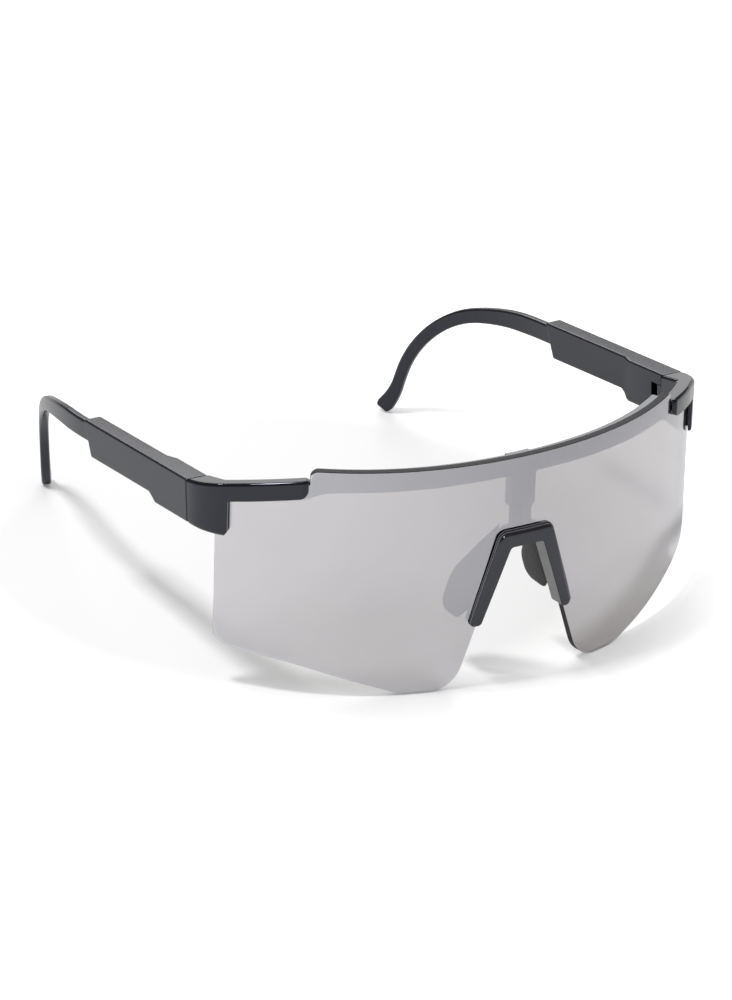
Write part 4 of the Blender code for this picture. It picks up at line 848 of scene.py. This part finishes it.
def make_sleeve():
    """Hollow front half of the temple, with a fork for the hinge and a channel for the tip."""
    ramp_end = KNUCKLE_LENGTH_BELOW + KNUCKLE_RAMP_BELOW
    outline = rounded([
        (GAP / 2, 0, 0),
        (SLEEVE_LENGTH, 0, 0),
        (SLEEVE_LENGTH - SLEEVE_SLANT, SLEEVE_HEIGHT, 0),
        (ramp_end, SLEEVE_HEIGHT, 0),
        (KNUCKLE_LENGTH_BELOW, KNUCKLE_HEIGHT, 0),
        (GAP / 2, KNUCKLE_HEIGHT, 0),
    ])
    sleeve = side_solid("temple_sleeve_left", outline, KNUCKLE_THICKNESS, 0)
    inner_step = plan_solid("inner_step", rounded([
        (KNUCKLE_THICKNESS + OVERRUN, KNUCKLE_LENGTH_INSIDE, 0),
        (KNUCKLE_THICKNESS, KNUCKLE_LENGTH_INSIDE, 0),
        (SLEEVE_THICKNESS, KNUCKLE_LENGTH_INSIDE + KNUCKLE_RAMP_INSIDE, 0),
        (SLEEVE_THICKNESS, SLEEVE_LENGTH + OVERRUN, 0),
        (KNUCKLE_THICKNESS + OVERRUN, SLEEVE_LENGTH + OVERRUN, 0),
    ]), -OVERRUN, KNUCKLE_HEIGHT + OVERRUN)
    pin_frame = temple_matrix(1)
    make_outward(inner_step)
    boolean(sleeve, placed(inner_step, pin_frame))
    round_edges(sleeve, SLEEVE_EDGE, SHARP_ANGLE)
    channel = temple_box("channel", (TIP_INSIDE - GAP, TIP_INSIDE + TIP_THICKNESS + GAP),
                         (CHANNEL_START, SLEEVE_LENGTH + OVERRUN),
                         (TIP_DOWN - TIP_HEIGHT / 2 - GAP, CHANNEL_FLOOR))
    fork = temple_box("fork", (PIN_INSIDE - LUG_RADIUS - GAP, KNUCKLE_THICKNESS + OVERRUN),
                      (-OVERRUN, FORK_DEPTH), (LUG_DOWN - GAP, LUG_DOWN + LUG_HEIGHT + GAP))
    pin_hole = upright_cylinder("pin_hole", HINGE_SCREW_RADIUS + HINGE_EASE, PIN_TOP_DOWN - GAP,
                                KNUCKLE_HEIGHT + OVERRUN)
    head_hole = upright_cylinder("head_hole", HINGE_HEAD_RADIUS + HINGE_EASE,
                                 KNUCKLE_HEIGHT - HINGE_HEAD_SINK - HINGE_HEAD_HEIGHT - HINGE_EASE,
                                 KNUCKLE_HEIGHT + OVERRUN)
    stop_hole = upright_cylinder("stop_hole", STOP_PIN_RADIUS + HINGE_EASE, CHANNEL_FLOOR - OVERRUN / 4,
                                 KNUCKLE_HEIGHT + OVERRUN, STOP_PIN_BACK - PIN_BACK)
    stop_hole.data.transform(Matrix.Translation((PIN_INSIDE - SLEEVE_THICKNESS / 2, 0, 0)))
    pocket = temple_box("spring_pocket",
                        ((SLEEVE_THICKNESS - SPRING_WIDTH) / 2 - GAP,
                         (SLEEVE_THICKNESS + SPRING_WIDTH) / 2 + GAP),
                        (SPRING_BACK - SPRING_LENGTH / 2 - GAP, SPRING_BACK + SPRING_LENGTH / 2 + GAP),
                        (CHANNEL_FLOOR - OVERRUN / 4, CHANNEL_FLOOR + SPRING_POCKET))
    for cutter in (channel, fork, make_ear_round(), pin_hole, head_hole, stop_hole, pocket):
        boolean(sleeve, placed(cutter, pin_frame))
    return sleeve


def make_ear_round():
    """The space that the fork's inner front corner leaves, so that it turns clear of the end piece."""
    steps = HOLE_SIDES // 2
    sweep = [math.pi / 2 * step / steps for step in range(steps + 1)]
    outline = [(PIN_INSIDE + EAR_RADIUS * math.sin(angle), PIN_BACK - EAR_RADIUS * math.cos(angle))
               for angle in sweep]
    far_inside = KNUCKLE_THICKNESS + OVERRUN
    outline += [(far_inside, PIN_BACK), (far_inside, -OVERRUN), (PIN_INSIDE, -OVERRUN)]
    ear = plan_solid("ear_round", outline, -OVERRUN, KNUCKLE_HEIGHT + OVERRUN)
    make_outward(ear)
    return ear


def tip_path():
    """Stations of the tip's centreline as (back, down, heading, height), up to the round end of its foot.

    The leg between the hook and the foot is as long as it takes to reach the ground.
    """
    to_hook = [
        (TIP_BEND_START - TIP_SHANK_START, 0, TIP_HEIGHT),
        (TIP_STRAIGHT_END - TIP_BEND_START, 0, TIP_HEIGHT),
        (TIP_FIRST_RADIUS * TIP_FIRST_TURN, TIP_FIRST_TURN, (TIP_HEIGHT + TIP_HOOK_HEIGHT) / 2),
        (TIP_HOOK_RADIUS * TIP_HOOK_TURN, TIP_HOOK_TURN, TIP_HOOK_HEIGHT),
    ]
    foot = (TIP_FLICK_RADIUS * TIP_FLICK_TURN, -TIP_FLICK_TURN, TIP_END_HEIGHT)
    back, down, _, height = run_along(to_hook + [foot])[-1]
    end_height = TEMPLE_TOP - back * math.sin(TEMPLE_SLOPE) - down * math.cos(TEMPLE_SLOPE)
    above_ground = end_height - height / 2
    leg_fall = math.sin(TEMPLE_SLOPE + TIP_FIRST_TURN + TIP_HOOK_TURN)
    leg = (above_ground / leg_fall, 0, TIP_HOOK_HEIGHT)
    return run_along(to_hook + [leg, foot])


def run_along(runs):
    """Stations along straight and curved runs, each given as (length, turn, height at its end)."""
    back, down, heading, height = TIP_SHANK_START, TIP_DOWN, 0.0, TIP_HEIGHT
    stations = [(back, down, heading, height)]
    for index, (length, turn, end_height) in enumerate(runs):
        steps = 1 if index == 0 else math.ceil(length / TIP_STATION_STEP)
        for step in range(steps):
            heading += turn / steps / 2
            back += math.cos(heading) * length / steps
            down += math.sin(heading) * length / steps
            heading += turn / steps / 2
            share = (step + 1) / steps
            stations.append((back, down, heading, height + (end_height - height) * share))
        height = end_height
    return stations


def make_tip():
    """Flat blank with a hook, bent inwards behind the ear, with a notched shank in the sleeve."""
    stations = tip_path()
    back, down, heading, height = stations[-1]
    for degrees in TIP_END_ANGLES:
        ahead = height / 2 * math.sin(math.radians(degrees))
        stations.append((back + ahead * math.cos(heading), down + ahead * math.sin(heading),
                         heading, height * math.cos(math.radians(degrees))))
    bm = bmesh.new()
    pairs = []
    for back, down, heading, height in stations:
        pair = []
        for edge in (-1, 1):
            edge_back = back - edge * math.sin(heading) * height / 2
            edge_down = down + edge * math.cos(heading) * height / 2
            inward = max(0, edge_back - TIP_BEND_START) ** 2 / (2 * TIP_BEND_RADIUS)
            pair.append(bm.verts.new((PIN_INSIDE - SLEEVE_THICKNESS / 2 - inward, edge_back - PIN_BACK,
                                      -edge_down)))
        pairs.append(pair)
    for (upper, lower), (next_upper, next_lower) in zip(pairs, pairs[1:]):
        bm.faces.new((upper, lower, next_lower, next_upper))
    tip = mesh_object("temple_tip_left", bm)
    thick = tip.modifiers.new("thickness", "SOLIDIFY")
    thick.thickness = TIP_THICKNESS
    thick.offset = 0
    thick.use_even_offset = True
    round_edges(tip, TIP_EDGE, TIP_EDGE_ANGLE)
    pin_frame = temple_matrix(1)
    for cutter in make_tip_cutters():
        boolean(tip, placed(cutter, pin_frame))
    return tip


def make_tip_cutters():
    """Groove for the stop pin and notches for the detent spring, in the shank's lower edge."""
    lower_edge = TIP_DOWN + TIP_HEIGHT / 2
    ease = STOP_PIN_RADIUS + GAP
    groove = temple_box("stop_groove", (0, SLEEVE_THICKNESS),
                        (STOP_PIN_BACK - TIP_TRAVEL_OUT - ease, STOP_PIN_BACK + TIP_TRAVEL_IN + ease),
                        (lower_edge - GROOVE_DEPTH, lower_edge + OVERRUN))
    cutters = [groove]
    count = round((TIP_TRAVEL_IN + TIP_TRAVEL_OUT) / NOTCH_PITCH) + 1
    for index in range(count):
        back = SPRING_BACK - TIP_TRAVEL_OUT + index * NOTCH_PITCH
        outline = [(back, lower_edge - NOTCH_DEPTH), (back + 2 * NOTCH_DEPTH, lower_edge + NOTCH_DEPTH),
                   (back - 2 * NOTCH_DEPTH, lower_edge + NOTCH_DEPTH)]
        notch = side_solid("notch_%d" % index, outline, SLEEVE_THICKNESS, 0)
        make_outward(notch)
        cutters.append(notch)
    return cutters


# Visible pieces
def placed(obj, matrix=None):
    """A working object at a matrix."""
    WORK.objects.link(obj)
    obj.matrix_world = matrix or Matrix()
    return obj


def baked(obj, matrix=None):
    """The object's finished mesh, moved by a matrix into the undisplaced front frame."""
    if obj.name not in WORK.objects:
        WORK.objects.link(obj)
    obj.matrix_world = matrix or Matrix()
    mesh = settled(obj)
    mesh.transform(obj.matrix_world)
    bpy.data.objects.remove(obj)
    return mesh


def reflected(mesh):
    """A copy of a mesh for the other side."""
    twin = mesh.copy()
    twin.transform(Matrix.Scale(-1, 4, Vector((1, 0, 0))))
    twin.flip_normals()
    return twin


def show(name, mesh, finishes, body, nodes):
    """Make a visible piece that stands for CAD nodes and rides on a body."""
    mesh.transform(Matrix.Translation(SHIFT))
    mesh.name = name
    for finish in finishes:
        mesh.materials.append(FINISHES[finish])
    mesh.shade_smooth()
    mesh.set_sharp_from_angle(angle=SHARP_ANGLE)
    piece = bpy.data.objects.new(name, mesh)
    bpy.context.scene.collection.objects.link(piece)
    even = piece.modifiers.new("even_normals", "WEIGHTED_NORMAL")
    even.keep_sharp = True
    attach(piece, body)
    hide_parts(*nodes)
    return piece


def make_lens_shell():
    """The shield, with its mirrored front, its tinted rear and its rim as three surfaces."""
    plate = flat_plate("lens_shell", lens_outline(), 0, LENS_THICKNESS)
    for face in plate.data.polygons:
        face.material_index = 0 if face.normal.z > FACING else 1 if face.normal.z < -FACING else 2
    round_edges(plate, LENS_EDGE)
    return bend(plate)


def between(first, second, share):
    """Outline part of the way from one to another with the same number of points."""
    return [a + (b - a) * share for a, b in zip(first, second)]


def ridged(outline, face, base, height):
    """Outline raised where the wall is drafted, and left alone round the opening."""
    raised = grown(outline, height)
    return [here + (out - here) * min(1, (b - a).length / RIDGE_FADE)
            for here, out, a, b in zip(outline, raised, face, base)]


def make_bridge_u():
    """The gloss U with a rounded face, two fine ridges along its walls, their tops painted light grey as a
    painted highlight, and a satin lining in its opening.
    """
    inner = [
        (BRIDGE_FOOT_INNER, BRIDGE_FOOT_DOWN, BRIDGE_FOOT_ROUND),
        (BRIDGE_INNER_ACROSS, BRIDGE_INNER_DOWN, BRIDGE_INNER_ROUND),
    ]
    face = rounded(both_sides([
        (BRIDGE_TOP_ACROSS, BRIDGE_TOP_DOWN, BRIDGE_TOP_ROUND),
        (BRIDGE_FOOT_OUTER, BRIDGE_FOOT_DOWN, BRIDGE_FOOT_ROUND),
    ] + inner))
    base = rounded(both_sides([
        (BRIDGE_BASE_TOP_ACROSS, BRIDGE_BASE_TOP_DOWN, BRIDGE_BASE_ROUND),
        (BRIDGE_BASE_FOOT_OUTER, BRIDGE_FOOT_DOWN, BRIDGE_FOOT_ROUND),
    ] + inner))
    sections = []
    for step in range(EDGE_STEPS):
        angle = math.pi / 2 * step / EDGE_STEPS
        inset = grown(face, -BRIDGE_EDGE * (1 - math.sin(angle)))
        sections.append([(across, down, BRIDGE_EDGE * (1 - math.cos(angle)) - bridge_proud(down))
                         for across, down in inset])
    for share, lift in ((0, 0), *RIDGE_SHARES, (1, 0)):
        wall = ridged(between(face, base, share), face, base, RIDGE_HEIGHT * lift)
        sections.append([(across, down, (BRIDGE_EDGE - bridge_proud(down)) * (1 - share) - GAP / 2 * share)
                         for across, down in wall])
    sections.append([(across, down, BRIDGE_REAR) for across, down in base])
    plate = lofted_plate("bridge_u", sections)
    lifts = [lift for share, lift in RIDGE_SHARES]
    ridge_rows = [EDGE_STEPS + 1 + row for row, pair in enumerate(zip(lifts, lifts[1:])) if all(pair)]
    slant = (BRIDGE_FOOT_INNER - BRIDGE_INNER_ACROSS) / (BRIDGE_FOOT_DOWN - BRIDGE_INNER_DOWN)
    for polygon in plate.data.polygons:
        across, down = abs(polygon.center.x), -polygon.center.y
        lining = (abs(polygon.normal.z) < FACING
                  and BRIDGE_INNER_DOWN < down < BRIDGE_FOOT_DOWN - BRIDGE_FOOT_ROUND
                  and across < BRIDGE_INNER_ACROSS + slant * (down - BRIDGE_INNER_DOWN) + GAP)
        row, place = divmod(polygon.index, len(face))
        # Faces on the ridge tops take the painted highlight, the third finish
        ridge = row in ridge_rows and (base[place] - face[place]).length > RIDGE_FADE
        polygon.material_index = 1 if lining else 2 if ridge else 0
    return bend(plate, [lens_clearance(BRIDGE_REAR + OVERRUN)])


def make_pad(side, top_down, foot_down):
    """Rubber fin behind one leg of the carrier, thickest in its middle and drawn in all round its rim."""
    front = TANG_REAR + GAP
    outline = rounded([
        (front, top_down, 0),
        (PAD_SHOULDER_BACK, PAD_SHOULDER_DOWN, PAD_SHOULDER_ROUND),
        (PAD_BELLY_BACK, PAD_BELLY_DOWN, PAD_BELLY_ROUND),
        (PAD_BELLY_BACK, foot_down, PAD_FOOT_ROUND),
        (PAD_FOOT_BACK, foot_down, PAD_HEEL_ROUND),
        (front, foot_down - PAD_FOOT_DOWN + PAD_HEEL_DOWN, 0),
    ])
    centre = sum(outline, Vector((0, 0))) / len(outline)
    slant = (PAD_FOOT_ACROSS - PAD_TOP_ACROSS) / (PAD_FOOT_DOWN - PAD_TOP_DOWN)
    bm = bmesh.new()

    def vertex(point, aside):
        """Vertex at a (back, down) point, moved sideways out of the fin's middle."""
        across = PAD_TOP_ACROSS + slant * (point.y - PAD_TOP_DOWN)
        place = bent(across, point.y, 0) + Vector((aside, point.x, 0))
        return bm.verts.new((place.x * side, place.y, place.z))

    rim = [vertex(point, 0) for point in outline]
    for way in (1, -1):
        ring = rim
        for step in range(1, PAD_RINGS + 1):
            angle = math.pi / 2 * step / PAD_RINGS
            scale = 1 - PAD_CROWN_REACH * (1 - math.cos(angle))
            aside = way * PAD_THICKNESS / 2 * math.sin(angle)
            following = [vertex(centre + (point - centre) * scale, aside) for point in outline]
            join_rings(bm, ring, following)
            ring = following
        top = vertex(centre, way * PAD_THICKNESS / 2 * PAD_CENTRE_RISE)
        for index in range(len(ring)):
            bm.faces.new((ring[index - 1], ring[index], top))
    bmesh.ops.recalc_face_normals(bm, faces=bm.faces)
    return mesh_object("pad", bm)


# Finishes
def new_material(name):
    """A material with its nodes, its links and its Principled shader."""
    material = bpy.data.materials.new(name)
    material.use_nodes = True
    nodes = material.node_tree.nodes
    return material, nodes, material.node_tree.links, nodes["Principled BSDF"]


def spanned(nodes, links, factor, span, values):
    """A number that goes from one value to another as a factor crosses a span."""
    node = nodes.new("ShaderNodeMapRange")
    for name, value in zip(("From Min", "From Max", "To Min", "To Max"), span + values):
        if isinstance(value, float):
            node.inputs[name].default_value = value
        else:
            links.new(value, node.inputs[name])
    links.new(factor, node.inputs["Value"])
    return node.outputs["Result"]


def noise(nodes, links, scale, detail, stretch=(1, 1, 1)):
    """Noise with a scale per metre, stretched along each axis."""
    mapping = nodes.new("ShaderNodeMapping")
    mapping.inputs["Scale"].default_value = stretch
    texture = nodes.new("ShaderNodeTexNoise")
    texture.inputs["Scale"].default_value = scale
    texture.inputs["Detail"].default_value = detail
    links.new(nodes.new("ShaderNodeTexCoord").outputs["Object"], mapping.inputs["Vector"])
    links.new(mapping.outputs["Vector"], texture.inputs["Vector"])
    return texture.outputs["Fac"]


def make_finish(name, color, roughness, tones, grain, bump=None, alphas=None, **sockets):
    """A Principled material with tones in its colour and grain in its roughness.

    A noise is (scale, detail) or (scale, detail, stretch). Tones are (noise, dark, light), grain is
    (noise, low, high) and bump is (noise, strength, depth). Alphas are those of the front and the back.
    """
    material, nodes, links, shader = new_material(name)
    material.diffuse_color = (*color, 1)
    shader.inputs["Base Color"].default_value = (*color, 1)
    shader.inputs["Roughness"].default_value = roughness
    for socket, value in sockets.items():
        shader.inputs[SOCKETS[socket]].default_value = value
    texture, dark, light = tones
    ramp = nodes.new("ShaderNodeValToRGB")
    for element, place, tone in zip(ramp.color_ramp.elements, TONE_PLACES, (dark, light)):
        element.position = place
        element.color = (*tone, 1)
    links.new(noise(nodes, links, *texture), ramp.inputs["Fac"])
    links.new(ramp.outputs["Color"], shader.inputs["Base Color"])
    texture, low, high = grain
    links.new(spanned(nodes, links, noise(nodes, links, *texture), (0.0, 1.0), (low, high)),
              shader.inputs["Roughness"])
    if bump:
        texture, strength, depth = bump
        node = nodes.new("ShaderNodeBump")
        node.inputs["Strength"].default_value = strength
        node.inputs["Distance"].default_value = depth
        links.new(noise(nodes, links, *texture), node.inputs["Height"])
        links.new(node.outputs["Normal"], shader.inputs["Normal"])
    if alphas:
        behind = nodes.new("ShaderNodeNewGeometry").outputs["Backfacing"]
        links.new(spanned(nodes, links, behind, (0.0, 1.0), alphas), shader.inputs["Alpha"])
    return material


def make_pieces():
    """Every visible piece, each in place of its CAD node."""
    temple = temple_matrix(1)
    for name, make, finishes, slot_name, node in (
            ("lens_shell", make_lens_shell, ("lens_mirror", "lens_tint", "lens_rim"), "lens", "lens"),
            ("brow_bar", make_brow_frame, ("frame_black",), "frame_black", "brow_frame"),
            ("bridge_u", make_bridge_u, ("nose_gloss", "bridge_lining", "ridge_painted_highlight"), "gloss_black",
             "nose_bridge"),
            ("carrier_plate", make_nose_carrier, ("frame_black",), "frame_black", "nose_carrier")):
        show(name, baked(make()), finishes, "front", [node])
    for side, word, top_down, foot_down in ((1, "left", PAD_TOP_LEFT, PAD_FOOT_LEFT),
                                            (-1, "right", PAD_TOP_RIGHT, PAD_FOOT_RIGHT)):
        pad = show("pad_" + word, baked(make_pad(side, top_down, foot_down)), ("pad_rubber",), "front",
                   ["nose_pad_" + word])
    for name, make, matrix, finish, body, node in (
            ("end_clip_", make_end_piece, Matrix(), "gloss_black", "front", "end_piece_"),
            ("sleeve_", make_sleeve, temple, "temple_black", "temple_", "temple_sleeve_"),
            ("tip_", make_tip, temple, "temple_black", "tip_", "temple_tip_")):
        left = baked(make(), matrix)
        for word, mesh in (("left", left), ("right", reflected(left))):
            rides_on = body + word if body.endswith("_") else body
            show(name + word, mesh, (finish,), rides_on, [node + word])
    for name in ("hinge_screw_", "stop_pin_", "detent_spring_"):
        for word in ("left", "right"):
            node = frame["nodes"][name + word]
            node.data.materials.clear()
            node.data.materials.append(FINISHES["pin_steel"])


# Stage
def make_camera():
    """The photograph's view."""
    turn = (Matrix.Rotation(CAMERA_AZIMUTH, 4, "Z") @ Matrix.Rotation(math.pi / 2 - CAMERA_ELEVATION, 4, "X")
            @ Matrix.Rotation(CAMERA_ROLL, 4, "Z"))
    data = bpy.data.cameras.new("photo_camera")
    data.lens = CAMERA_LENS
    data.sensor_width = SENSOR_WIDTH
    data.clip_end = CAMERA_REACH
    camera = bpy.data.objects.new("photo_camera", data)
    camera.matrix_world = (Matrix.Translation(CAMERA_TARGET + SHIFT) @ turn
                           @ Matrix.Translation((0, 0, CAMERA_DISTANCE)))
    bpy.context.scene.collection.objects.link(camera)
    bpy.context.scene.camera = camera


def by_ray(nodes, links, shown, mirrored, otherwise):
    """Strengths for what the camera sees, through the lens too, for reflections and for all other rays."""
    path = nodes.new("ShaderNodeLightPath").outputs
    direct = nodes.new("ShaderNodeMath")
    direct.operation = "MAXIMUM"
    links.new(path["Is Camera Ray"], direct.inputs[0])
    links.new(path["Is Transmission Ray"], direct.inputs[1])
    indirect = spanned(nodes, links, path["Is Glossy Ray"], (0.0, 1.0), (otherwise, mirrored))
    return spanned(nodes, links, direct.outputs["Value"], (0.0, 1.0), (indirect, shown))


def make_floor():
    """Pale floor, lifted to white where it is seen, with the object's shadow on it. The lift grows away from
    the object, painted light that fades the shadow further out, and a glow that only reflections see,
    stronger towards -X, is a painted reflection.
    """
    bm = bmesh.new()
    bmesh.ops.create_grid(bm, x_segments=1, y_segments=1, size=FLOOR_HALF)
    bmesh.ops.translate(bm, verts=bm.verts, vec=(0, 0, -FLOOR_DROP))
    floor = mesh_object("floor", bm)
    material, nodes, links, shader = new_material("floor_white")
    shader.inputs["Base Color"].default_value = (FLOOR_TONE, FLOOR_TONE, FLOOR_TONE, 1)
    shader.inputs["Roughness"].default_value = 1.0
    shader.inputs["Specular IOR Level"].default_value = 0.0
    shader.inputs["Emission Color"].default_value = (1, 1, 1, 1)
    place = nodes.new("ShaderNodeTexCoord").outputs["Object"]
    distance = nodes.new("ShaderNodeVectorMath")
    distance.operation = "LENGTH"
    links.new(place, distance.inputs[0])
    # Painted light: the glow that the camera sees grows with distance, fading the object's shadow further out
    lift = spanned(nodes, links, distance.outputs["Value"], (FLOOR_NEAR, FLOOR_FAR),
                   (FLOOR_LIFT_NEAR, FLOOR_LIFT_FAR))
    aside = nodes.new("ShaderNodeSeparateXYZ")
    links.new(place, aside.inputs["Vector"])
    # Painted reflection: a glow that only reflections see, stronger towards -X
    mirrored = spanned(nodes, links, aside.outputs["X"], (-MIRRORED_SPAN, MIRRORED_SPAN),
                       (MIRRORED_LEFT, MIRRORED_RIGHT))
    links.new(by_ray(nodes, links, lift, mirrored, 0.0), shader.inputs["Emission Strength"])
    floor.data.materials.append(material)
    floor.location = FLOOR_CENTRE
    bpy.context.scene.collection.objects.link(floor)


def make_world():
    """White surroundings to look at, dim as a light, and in reflections dark above a bright horizon."""
    world = bpy.data.worlds.new("studio")
    world.use_nodes = True
    bpy.context.scene.world = world
    nodes, links = world.node_tree.nodes, world.node_tree.links
    background = nodes["Background"]
    background.inputs["Color"].default_value = (1, 1, 1, 1)
    height = nodes.new("ShaderNodeSeparateXYZ")
    links.new(nodes.new("ShaderNodeTexCoord").outputs["Generated"], height.inputs["Vector"])
    mirrored = spanned(nodes, links, height.outputs["Z"], (HORIZON_LOW, HORIZON_HIGH),
                       (WORLD_SEEN, WORLD_DARK))
    links.new(by_ray(nodes, links, WORLD_SEEN, mirrored, WORLD_LIGHT), background.inputs["Strength"])


def make_light(name, place, aim, size, power):
    """Square soft box."""
    data = bpy.data.lights.new(name, "AREA")
    data.shape = "SQUARE"
    data.size = size
    data.energy = power
    light = bpy.data.objects.new(name, data)
    light.location = place
    light.visible_camera = False
    light.rotation_euler = (Vector(aim) - Vector(place)).to_track_quat("-Z", "Y").to_euler()
    bpy.context.scene.collection.objects.link(light)


LEFT_PIN = Vector(next(joint["pos_m"] for joint in frame["joints"] if joint["name"] == "fold_left"))
SHIFT = LEFT_PIN - temple_matrix(1).translation
WORK = bpy.data.collections.new("working")
bpy.context.scene.collection.children.link(WORK)
FINISHES = {name: make_finish(name, **values) for name, values in FINISH_VALUES.items()}
make_camera()
make_pieces()
for used in list(WORK.objects):
    bpy.data.objects.remove(used)
bpy.data.collections.remove(WORK)
make_floor()
make_world()
for light in LIGHTS:
    make_light(*light)
bpy.context.scene.view_settings.view_transform = "Standard"
